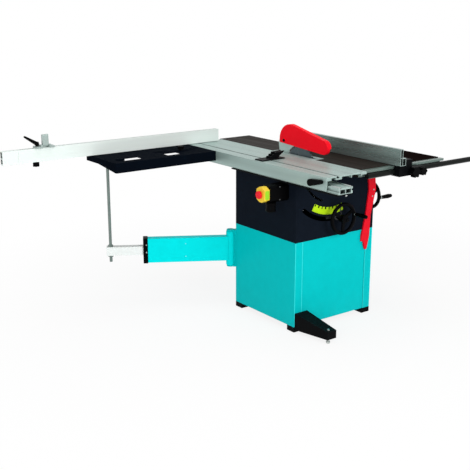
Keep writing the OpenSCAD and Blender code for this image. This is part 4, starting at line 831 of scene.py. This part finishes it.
@dataclass
class Workshop:
    """What every sub-assembly builds with."""

    nodes: dict[str, bpy.types.Object]
    paint: PaintShop
    screws: ScrewHeads
    ribs: LongRibs
    threads: ThreadRings
    ticks: ArcTicks
    weld_gap: float = 0.00002
    flat_angle: float = math.radians(0.3)
    edge_angle: float = math.radians(32)
    edge_steps: int = 2
    face_weight: int = 80
    sink_share: float = 0.45
    merge_gap: float = 1e-7
    turn_steps: int = 40

    def dress(self, finish: Finish, edge: float, names: Sequence[str]) -> None:
        """Give CAD nodes a finish and softly broken edges.

        Args:
            finish: The finish of the nodes.
            edge: Width of the broken edge in metres, or 0 to leave it sharp.
            names: The nodes.
        """
        for name in names:
            node = self.nodes[name]
            node.data.materials.clear()
            node.data.materials.append(self.paint.material(finish))
            node.data.polygons.foreach_set("use_smooth", [True] * len(node.data.polygons))
            assign(node.modifiers.new("weld", "WELD"), merge_threshold=self.weld_gap)
            assign(node.modifiers.new("flat", "DECIMATE"), decimate_type="DISSOLVE",
                   angle_limit=self.flat_angle)
            if edge:
                assign(node.modifiers.new("edge", "BEVEL"), width=edge,
                       segments=self.edge_steps, limit_method="ANGLE",
                       angle_limit=self.edge_angle, use_clamp_overlap=True)
            assign(node.modifiers.new("weigh", "WEIGHTED_NORMAL"),
                   weight=self.face_weight, keep_sharp=False)
            LOG.info("piece %s takes %s", name, finish.name)

    @staticmethod
    def hang(made: bpy.types.Object, body: str, slot: str) -> None:
        """Hang a new piece on a body.

        Args:
            made: The piece, in place.
            body: The CAD body it moves with.
            slot: The record's slot for its finish; not used.
        """
        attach(made, body)
        LOG.info("piece %s rides on %s", made.name, body)

    def repeat(self, tree: RepeatTree, name: str, body: str, finish: Finish,
               points: Sequence[Point] = (), way: Point = UP, **values: object) -> None:
        """Grow a repeated piece and hang it on a body.

        Args:
            tree: The tree that repeats the item.
            name: Name of the piece.
            body: The CAD body it moves with.
            finish: Finish of the items.
            points: Points for the items, where the tree has none of its own.
            way: The way that items on points face.
            values: Values of the tree's named inputs.
        """
        host = bpy.data.meshes.new(name + "_points")
        host.from_pydata(points, [], [])
        facing = host.attributes.new("facing", "FLOAT_VECTOR", "POINT")
        for row in facing.data:
            row.vector = way
        made = tree.grow(name, host, self.paint.material(finish), **values)
        self.hang(made, body, finish.slot)

    def fix(self, name: str, body: str, finish: Finish, head: Head, way: Point,
            spots: Sequence[Point]) -> None:
        """Set screw heads on spots.

        Args:
            name: Name of the piece.
            body: The CAD body it moves with.
            finish: Finish of the heads.
            head: Sizes of a head.
            way: The way that the heads face, as a unit vector.
            spots: Foot of each head.
        """
        sink = self.sink_share * head.height * Vector(way)
        self.repeat(self.screws, name, body, finish, [Vector(at) + sink for at in spots],
                    way, Radius=head.radius, Height=head.height, Sides=head.sides,
                    Socket_Share=head.share, Seed=SEED)

    def shape(self, name: str, body: str, finish: Finish, form: bmesh.types.BMesh) -> None:
        """Make a piece of a finished form and hang it on a body.

        Args:
            name: Name of the piece.
            body: The CAD body it moves with.
            finish: Finish of the piece.
            form: The form, which is used up.
        """
        mesh = bpy.data.meshes.new(name)
        form.to_mesh(mesh)
        form.free()
        mesh.materials.append(self.paint.material(finish))
        self.hang(put(name, mesh), body, finish.slot)

    def turn(self, name: str, body: str, finish: Finish,
             profile: Sequence[tuple[float, float]], at: Point, way: Point) -> None:
        """Turn a closed profile about an axis.

        Args:
            name: Name of the piece.
            body: The CAD body it moves with.
            finish: Finish of the piece.
            profile: Radius and height of each point.
            at: Where the profile's zero height sits.
            way: Direction of the axis.
        """
        form = bmesh.new()
        rings = []
        for step in range(self.turn_steps):
            angle = math.tau * step / self.turn_steps
            rings.append([form.verts.new((r * math.cos(angle), r * math.sin(angle), h))
                          for r, h in profile])
        for here, there in zip(rings, rings[1:] + rings[:1]):
            for a in range(len(profile)):
                b = (a + 1) % len(profile)
                form.faces.new((here[a], there[a], there[b], here[b]))
        bmesh.ops.remove_doubles(form, verts=form.verts, dist=self.merge_gap)
        bmesh.ops.recalc_face_normals(form, faces=form.faces)
        spin = Vector(UP).rotation_difference(Vector(way))
        bmesh.ops.transform(form, matrix=spin.to_matrix().to_4x4(), verts=form.verts)
        bmesh.ops.translate(form, vec=Vector(at), verts=form.verts)
        self.shape(name, body, finish, form)


class Assembly:
    """One sub-assembly: the coats of its CAD nodes and the pieces it adds.

    A coat has a finish, the width of the broken edges in metres and the nodes' names.
    """

    coats: Sequence[tuple[Finish, float, Sequence[str]]] = ()

    def dress(self, shop: Workshop) -> None:
        """Give the CAD nodes their coats."""
        for finish, edge, names in self.coats:
            shop.dress(finish, edge, names)

    def build(self, shop: Workshop) -> None:
        """Add the sub-assembly's own pieces."""
        raise NotImplementedError


@dataclass(frozen=True)
class Marks:
    """A row of marks on the tilt scale.

    Args:
        radius: Distance from the tilt axis in metres.
        first: Angle of the first mark in degrees.
        gap: Angle between two marks in degrees.
        count: How many there are.
        width: Width of a mark in metres.
        length: Length of a mark in metres.
    """

    radius: float
    first: float
    gap: float
    count: int
    width: float
    length: float


@dataclass
class Cabinet(Assembly):
    """Lower cabinet, feet, housing, slots and scale."""

    coats = ((Paint.CABINET, 0.0006, ("side_panels", "end_panels")),
             (Paint.HOUSING, 0.0009, ("upper_housing",)),
             (Paint.BLACK, 0.0012, ("corner_feet", "stabiliser_foot", "dust_outlet",
                                    "beam_support")),
             (Paint.ZINC, 0.0005, ("levelling_screw",)),
             (Paint.SCALE, 0.0, ("angle_scale",)),
             (Paint.POINTER, 0.0003, ("angle_pointer",)))

    bolt: Head = Head(0.011, 0.008, 6, 0.4)
    bolt_at: Point = (-0.205, -0.252, 0.766)
    pivot: Point = (-0.032, -0.2534, 0.866)
    lines: Marks = Marks(0.2625, -16.0, 2.0, 23, 0.0008, 0.006)
    notches: Marks = Marks(0.2355, -13.65, 12.0, 4, 0.0095, 0.011)
    mark_t: float = 0.0004
    # Sizes of the pale bars that paint a highlight along the front folds.
    fold_w: float = 0.0030
    fold_in: float = 0.0018
    fold_gap: float = 0.0464
    fold_ends: float = 0.004
    pitch: float = 0.0018
    thread_r: float = 0.0058
    wire_r: float = 0.0007
    thread_low: float = 0.012
    thread_ends: float = 0.014

    def build(self, shop: Workshop) -> None:
        """Add painted fold highlights, the slot's bolt, the scale's marks and the levelling
        thread.

        Args:
            shop: What to build with.
        """
        lo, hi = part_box("side_panels")
        for name, first in (("painted_fold_highlight_left", lo.x + self.fold_in),
                            ("painted_fold_highlight_right", hi.x - self.fold_in - self.fold_gap)):
            shop.repeat(shop.ribs, name, "stand", Paint.CREASE_HIGHLIGHT,
                        Start=(first, lo.y, (lo.z + hi.z) / 2),
                        Step=(self.fold_gap, 0.0, 0.0), Count=2,
                        Size=(self.fold_w, self.mark_t, hi.z - lo.z - self.fold_ends))
        shop.fix("slot_bolt", "stand", Paint.BLACK, self.bolt, FRONT, [self.bolt_at])
        for name, finish, marks in (("scale_lines", Paint.MARK, self.lines),
                                    ("scale_notches", Paint.NOTCH, self.notches)):
            shop.repeat(shop.ticks, name, "stand", finish, Centre=self.pivot,
                        Radius=marks.radius, First=math.radians(marks.first),
                        Gap=math.radians(marks.gap), Count=marks.count,
                        Size=(marks.width, self.mark_t, marks.length))
        lo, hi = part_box("levelling_screw")
        shop.repeat(shop.threads, "levelling_thread", "levelling", Paint.ZINC,
                    Start=((lo.x + hi.x) / 2, (lo.y + hi.y) / 2, lo.z + self.thread_low),
                    Step=(0.0, 0.0, self.pitch),
                    Count=max(2, int((hi.z - lo.z - self.thread_ends) / self.pitch)),
                    Radius=self.thread_r, Wire=self.wire_r)


@dataclass
class Tables(Assembly):
    """Fixed tables, insert and the rip fence with its bar."""

    coats = ((Paint.TABLE, 0.0012, ("main_table", "rear_table")),
             (Paint.WING, 0.0012, ("right_table",)),
             (Paint.RUN_Y, 0.0007, ("table_insert",)),
             (Paint.FENCE, 0.0007, ("rip_fence",)),
             (Paint.RAIL, 0.0007, ("front_rail",)),
             (Paint.BAR, 0.0010, ("guide_bar",)),
             (Paint.ZINC, 0.0006, ("rail_standoffs",)),
             (Paint.BLACK, 0.0012, ("rip_fence_carrier",)),
             (Paint.PLASTIC, 0.0015, ("carrier_knob", "fence_slide_knob")))

    screw: Head = Head(0.0042, 0.0010, share=0.55)
    screw_in: float = 0.008
    screw_sink: float = 0.0012
    screw_end: float = 0.02
    bolt: Head = Head(0.007, 0.0035, 6)
    bolt_rise: float = 0.011
    bolt_places: tuple[float, ...] = (0.06, 0.22, 0.46)
    web_t: float = 0.004

    def build(self, shop: Workshop) -> None:
        """Add insert screws and rail bolts.

        Args:
            shop: What to build with.
        """
        lo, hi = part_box("table_insert")
        shop.fix("insert_screws", "stand", Paint.ZINC, self.screw, UP,
                 [(hi.x - self.screw_in, y, hi.z - self.screw_sink)
                  for y in (lo.y + self.screw_end, (lo.y + hi.y) / 2,
                            hi.y - self.screw_end)])
        lo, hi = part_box("front_rail")
        shop.fix("rail_bolts", "stand", Paint.ZINC, self.bolt, FRONT,
                 [(x, hi.y - self.web_t, lo.z + self.bolt_rise)
                  for x in self.bolt_places])


@dataclass
class Slide(Assembly):
    """Carriage, beam and lock of the sliding table."""

    coats = ((Paint.RUN_Y, 0.0006, ("carriage", "slide_beam")),
             (Paint.STEEL, 0.0, ("beam_rods", "roller_cage")),
             (Paint.PLASTIC, 0.0014, ("carriage_lock_lever",)),
             (Paint.BLACK, 0.0010, ("edging_shoe",)))

    rib_w: float = 0.0012
    rib_h: float = 0.0004
    rib_step: float = 0.0135
    rib_ends: float = 0.002
    left_in: float = 0.012
    left_count: int = 4
    right_x: float = -0.226
    right_count: int = 12
    bolt: Head = Head(0.005, 0.012, 6, 0.4)
    bolt_x: float = -0.232
    bolt_in: float = 0.03

    def build(self, shop: Workshop) -> None:
        """Add the long ribs of the extruded top and a stop bolt.

        Args:
            shop: What to build with.
        """
        lo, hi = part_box("carriage")
        for name, first, count in (
                ("carriage_ribs_left", lo.x + self.left_in, self.left_count),
                ("carriage_ribs_right", self.right_x, self.right_count)):
            shop.repeat(shop.ribs, name, "sliding_table", Paint.RUN_Y,
                        Start=(first, (lo.y + hi.y) / 2, hi.z),
                        Step=(self.rib_step, 0.0, 0.0), Count=count,
                        Size=(self.rib_w, hi.y - lo.y - self.rib_ends, self.rib_h))
        lo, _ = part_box("beam_support")
        shop.fix("beam_bolt", "stand", Paint.ZINC, self.bolt, DOWN,
                 [(self.bolt_x, lo.y + self.bolt_in, lo.z)])


@dataclass
class Crosscut(Assembly):
    """Outrigger, crosscut fence, its stop and its swivel."""

    coats = ((Paint.NAVY, 0.0016, ("outrigger",)),
             (Paint.NAVY, 0.0006, ("swivel_plate",)),
             (Paint.RUN_X, 0.0007, ("crosscut_fence", "fence_extension")),
             (Paint.STOP, 0.0007, ("stop_block", "stop_flap")),
             (Paint.PLASTIC, 0.0012, ("swivel_knob", "extension_knob", "stop_lever")))

    screw: Head = Head(0.005, 0.003)
    screw_in: float = 0.018

    def build(self, shop: Workshop) -> None:
        """Add the screws of the fence's end block.

        Args:
            shop: What to build with.
        """
        lo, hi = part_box("fence_extension")
        shop.fix("fence_end_screws", "fence_end", Paint.ZINC, self.screw, LEFT,
                 [(lo.x, (lo.y + hi.y) / 2, z)
                  for z in (lo.z + self.screw_in, hi.z - self.screw_in)])


@dataclass
class Arm(Assembly):
    """Swinging arm with its telescope and strut."""

    coats = ((Paint.ARM, 0.0012, ("swing_arm",)),
             (Paint.HINGE, 0.0012, ("arm_hinge_bracket",)),
             (Paint.PLASTIC, 0.0014, ("arm_end_cap",)),
             (Paint.TUBE, 0.0008, ("arm_tube",)),
             (Paint.ROD, 0.0007, ("support_strut",)))

    hinge: Point = (-0.284, 0.284, 0.335)
    reach: Point = (-0.858, 0.5135, 0.0)
    screw: Head = Head(0.0034, 0.0024)
    arm_reach: float = 0.248
    arm_out: float = 0.024
    arm_rises: tuple[float, ...] = (0.036, -0.036)
    cap_reach: float = 0.4625
    cap_out: float = 0.027
    cap_rises: tuple[float, ...] = (0.034, -0.008)

    def build(self, shop: Workshop) -> None:
        """Add the small screws along the arm's face.

        Args:
            shop: What to build with.
        """
        along = Vector(self.reach).normalized()
        face = Vector((-along.y, along.x, 0.0))
        for name, finish, reach, out, rises in (
                ("arm_screws", Paint.PLUG, self.arm_reach, self.arm_out, self.arm_rises),
                ("cap_screws", Paint.ZINC, self.cap_reach, self.cap_out, self.cap_rises)):
            foot = Vector(self.hinge) + along * reach + face * out
            shop.fix(name, "arm", finish, self.screw, face[:],
                     [foot + Vector((0.0, 0.0, rise)) for rise in rises])


@dataclass
class SawUnit(Assembly):
    """Blade, guard, knife and the mechanism inside the housing."""

    coats = ((Paint.GUARD, 0.0025, ("blade_guard",)),
             (Paint.BLADE, 0.0, ("saw_blade",)),
             (Paint.KNIFE, 0.0, ("riving_knife",)),
             (Paint.CASTING, 0.0010, ("trunnion_brackets", "tilt_frame", "arbor_housing")),
             (Paint.MOTOR, 0.0010, ("motor",)),
             (Paint.STEEL, 0.0005, ("arbor_shaft", "motor_pulley", "lift_screw")),
             (Paint.RUBBER, 0.0, ("drive_belt",)))

    screw: Head = Head(0.0082, 0.003, share=0.45)
    screw_y: float = 0.118
    screw_z: float = 0.932

    def build(self, shop: Workshop) -> None:
        """Add the guard's screw."""
        lo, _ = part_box("blade_guard")
        shop.fix("guard_screw", "lift_unit", Paint.BLACK, self.screw, LEFT,
                 [(lo.x, self.screw_y, self.screw_z)])


@dataclass
class Controls(Assembly):
    """Handwheels, grips, switch and push stick."""

    coats = ((Paint.PLASTIC, 0.0014, ("height_handwheel", "height_grip", "tilt_handwheel",
                                      "tilt_grip", "switch_box")),
             (Paint.YELLOW, 0.0010, ("switch_cover",)),
             (Paint.BUTTON, 0.0012, ("stop_button",)),
             (Paint.STICK, 0.0016, ("push_stick",)))

    hub_nut: Head = Head(0.009, 0.006, 6)
    height_hub: Point = (0.0051, -0.332, 0.5764)
    tilt_hub: Point = (0.362, -0.160, 0.636)
    neck_share: float = 0.72
    # An outline's points have a share of the radius and a height in metres
    ferrule: Outline = ((0.5, 0.0004), (1.02, 0.0004), (1.10, 0.0012), (1.10, 0.0044),
                        (1.06, 0.0052), (0.5, 0.0052))
    box_screw: Head = Head(0.0035, 0.002)
    box_screw_x: float = -0.330
    box_screw_rises: tuple[float, ...] = (0.768, 0.704)
    inlay_in: float = 0.004
    inlay_low: float = 0.017
    inlay_t: float = 0.0008
    inlay_steps: int = 6
    inlet_in: float = 0.018
    inlet_h: float = 0.050
    socket_r: float = 0.027
    socket: Outline = ((0.49, 0.0002), (0.94, 0.0002), (1.0, 0.0016), (1.0, 0.010),
                       (0.91, 0.012), (0.91, 0.033), (0.97, 0.035), (0.97, 0.0435),
                       (0.91, 0.0455), (0.76, 0.0455), (0.72, 0.0440), (0.49, 0.0440))
    rivet: Head = Head(0.004, 0.0016, share=0.3)
    rivets: tuple[tuple[float, float], ...] = ((0.258, 0.690), (0.250, 0.655))

    def build(self, shop: Workshop) -> None:
        """Add hub nuts, ferrules, box screws, inlay, inlet socket and stick rivets.

        Args:
            shop: What to build with.
        """
        self._wheel(shop, "height", self.height_hub, FRONT)
        self._wheel(shop, "tilt", self.tilt_hub, RIGHT)
        lo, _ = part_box("switch_box")
        shop.fix("box_screws", "stand", Paint.DULL, self.box_screw, FRONT,
                 [(self.box_screw_x, lo.y, z) for z in self.box_screw_rises])
        self._inlay(shop)
        shop.turn("inlet_socket", "stand", Paint.PLASTIC,
                  [(self.socket_r * share, rise) for share, rise in self.socket],
                  (lo.x + self.inlet_in, lo.y + self.inlet_in, lo.z + self.inlet_h), DOWN)
        lo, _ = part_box("push_stick")
        shop.fix("stick_rivets", "stick", Paint.ZINC, self.rivet, FRONT,
                 [(x, lo.y, z) for x, z in self.rivets])

    def _inlay(self, shop: Workshop) -> None:
        """Add the thin green plate with round corners on the cover's near side.

        Args:
            shop: What to build with.
        """
        lo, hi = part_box("switch_cover")
        middle = (lo + hi) / 2
        round_r = self.inlay_in
        wide = (hi.x - lo.x) / 2 - self.inlay_in - round_r
        tall = (hi.z - lo.z) / 2 - self.inlay_low - round_r
        form = bmesh.new()
        rim = []
        for turn, (u, v) in enumerate(((1, 1), (-1, 1), (-1, -1), (1, -1))):
            for step in range(self.inlay_steps + 1):
                angle = math.pi / 2 * (turn + step / self.inlay_steps)
                rim.append(form.verts.new((
                    middle.x + u * wide + round_r * math.cos(angle), lo.y,
                    middle.z + v * tall + round_r * math.sin(angle))))
        plate = form.faces.new(rim)
        raised = bmesh.ops.extrude_face_region(form, geom=[plate])["geom"]
        lifted = [part for part in raised if isinstance(part, bmesh.types.BMVert)]
        bmesh.ops.translate(form, vec=(0.0, -self.inlay_t, 0.0), verts=lifted)
        bmesh.ops.recalc_face_normals(form, faces=form.faces)
        shop.shape("cover_inlay", "cover", Paint.INLAY, form)

    def _wheel(self, shop: Workshop, side: str, hub: Point, way: Point) -> None:
        """Add the hub nut of one handwheel and the ferrule of its grip.

        Args:
            shop: What to build with.
            side: Which wheel, height or tilt.
            hub: Middle of the hub's outer face.
            way: The way that the wheel faces.
        """
        shop.fix(side + "_hub_nut", side + "_wheel", Paint.BLACK, self.hub_nut, way, [hub])
        lo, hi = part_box(side + "_grip")
        size = hi - lo
        length = sum(abs(part) * size[i] for i, part in enumerate(way))
        radius = self.neck_share * min(size[i] for i in range(3) if not way[i]) / 2
        shop.turn(side + "_ferrule", side + "_handle", Paint.STEEL,
                  [(radius * share, rise) for share, rise in self.ferrule],
                  ((lo + hi) / 2 - Vector(way) * (length / 2))[:], way)


@dataclass(frozen=True)
class Lamp:
    """One soft round light.

    Args:
        name: Name of the light.
        at: Where it is.
        aim: Where it looks.
        size: Its width in metres.
        power: Its power in watts.
    """

    name: str
    at: Point
    aim: Point
    size: float
    power: float


@dataclass
class Studio:
    """Floor, soft light and the camera at the photo's place."""

    place: Point = (-2.975, -3.410, 1.679)
    yaw: float = 36.39
    pitch: float = 15.56
    lens: float = 65.857
    sensor: float = 36.0
    view_reach: float = 200.0
    lamps: tuple[Lamp, ...] = (
        Lamp("key", (0.2, -5.0, 2.2), (-0.3, 0.0, 0.6), 2.8, 118.0),
        Lamp("left", (-4.2, -2.4, 1.9), (-0.3, 0.0, 0.6), 2.4, 66.0),
        Lamp("top", (-0.3, -0.4, 4.6), (-0.3, 0.1, 0.6), 3.0, 50.0))
    world_light: float = 0.45
    floor_half: float = 40.0
    floor_colour: Rgba = (0.95, 0.95, 0.95, 1.0)
    floor_rough: float = 0.9
    fade_reach: tuple[float, float] = (0.6, 2.6)
    fade_share: tuple[float, float] = (0.86, 1.0)

    def build(self) -> None:
        """Set up the world, the floor, the lights and the camera."""
        scene = bpy.context.scene
        scene.view_settings.view_transform = "Standard"
        scene.world = self._world()
        self._floor()
        for lamp in self.lamps:
            self._light(lamp)
        view = bpy.data.cameras.new("photo_view")
        assign(view, lens=self.lens, sensor_width=self.sensor, clip_end=self.view_reach)
        eye = put("photo_view", view)
        eye.location = self.place
        eye.rotation_euler = (math.radians(90.0 - self.pitch), 0.0,
                              math.radians(-self.yaw))
        scene.camera = eye
        LOG.info("studio ready")

    @staticmethod
    def _seen(graph: Graph) -> Socket:
        """Find the rays that show the background: seen, mirrored or let through.

        Args:
            graph: The graph to lay the nodes in.

        Returns:
            The mask of those rays.
        """
        rays = graph.node("ShaderNodeLightPath").outputs
        near = graph.math("MAXIMUM", rays["Is Camera Ray"], rays["Is Glossy Ray"])
        return graph.math("MAXIMUM", near, rays["Is Transmission Ray"])

    def _world(self) -> bpy.types.World:
        """Make a world that is white where the camera or a mirror looks.

        Returns:
            The world, with plain light elsewhere.
        """
        world = bpy.data.worlds.new("studio")
        world.use_nodes = True
        graph = Graph(world.node_tree)
        lit = world.node_tree.nodes["Background"]
        graph.fill(lit, {"Color": WHITE, "Strength": self.world_light})
        seen = graph.node("ShaderNodeBackground", {"Color": WHITE, "Strength": 1.0})
        pick = graph.node("ShaderNodeMixShader", {
            0: self._seen(graph), 1: lit.outputs[0], 2: seen.outputs[0]})
        graph.fill(world.node_tree.nodes["World Output"], {"Surface": pick.outputs[0]})
        return world

    def _floor(self) -> None:
        """Lay a pale floor that keeps a soft shadow near the object."""
        half = self.floor_half
        mesh = bpy.data.meshes.new("floor")
        mesh.from_pydata([(-half, -half, 0.0), (half, -half, 0.0), (half, half, 0.0),
                          (-half, half, 0.0)], [], [(0, 1, 2, 3)])
        coat = bpy.data.materials.new("floor")
        coat.use_nodes = True
        graph = Graph(coat.node_tree)
        lit = coat.node_tree.nodes["Principled BSDF"]
        graph.fill(lit, {"Base Color": self.floor_colour, "Roughness": self.floor_rough,
                         "Specular IOR Level": 0.0})
        glow = graph.node("ShaderNodeEmission", {"Color": WHITE, "Strength": 1.0})
        place = graph.node("ShaderNodeTexCoord").outputs["Object"]
        fade = graph.span(graph.measure("LENGTH", place), self.fade_reach, self.fade_share,
                          interpolation_type="SMOOTHSTEP")
        pick = graph.node("ShaderNodeMixShader", {
            0: graph.math("MULTIPLY", self._seen(graph), fade),
            1: lit.outputs[0], 2: glow.outputs[0]})
        graph.fill(coat.node_tree.nodes["Material Output"], {"Surface": pick.outputs[0]})
        mesh.materials.append(coat)
        floor = put("floor", mesh)

    @staticmethod
    def _light(lamp: Lamp) -> None:
        """Add one lamp that looks at its point.

        Args:
            lamp: The lamp to add.
        """
        data = bpy.data.lights.new(lamp.name, "AREA")
        assign(data, shape="DISK", size=lamp.size, energy=lamp.power)
        made = put(lamp.name, data)
        made.location = lamp.at
        look = Vector(lamp.aim) - Vector(lamp.at)
        made.rotation_euler = look.to_track_quat("-Z", "Y").to_euler()


def clear_scene() -> None:
    """Remove what a new file starts with."""
    for item in list(bpy.data.objects):
        bpy.data.objects.remove(item)


def main() -> None:
    """Build every class in order and report each piece."""
    logging.basicConfig(level=logging.INFO, format="%(message)s")
    clear_scene()
    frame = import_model()
    shop = Workshop(frame["nodes"], PaintShop(), ScrewHeads(), LongRibs(), ThreadRings(),
                    ArcTicks())
    for part in (Cabinet(), Tables(), Slide(), Crosscut(), Arm(), SawUnit(), Controls()):
        part.dress(shop)
        part.build(shop)
        LOG.info("%s dressed", type(part).__name__)
    Studio().build()


if __name__ == "__main__":
    main()
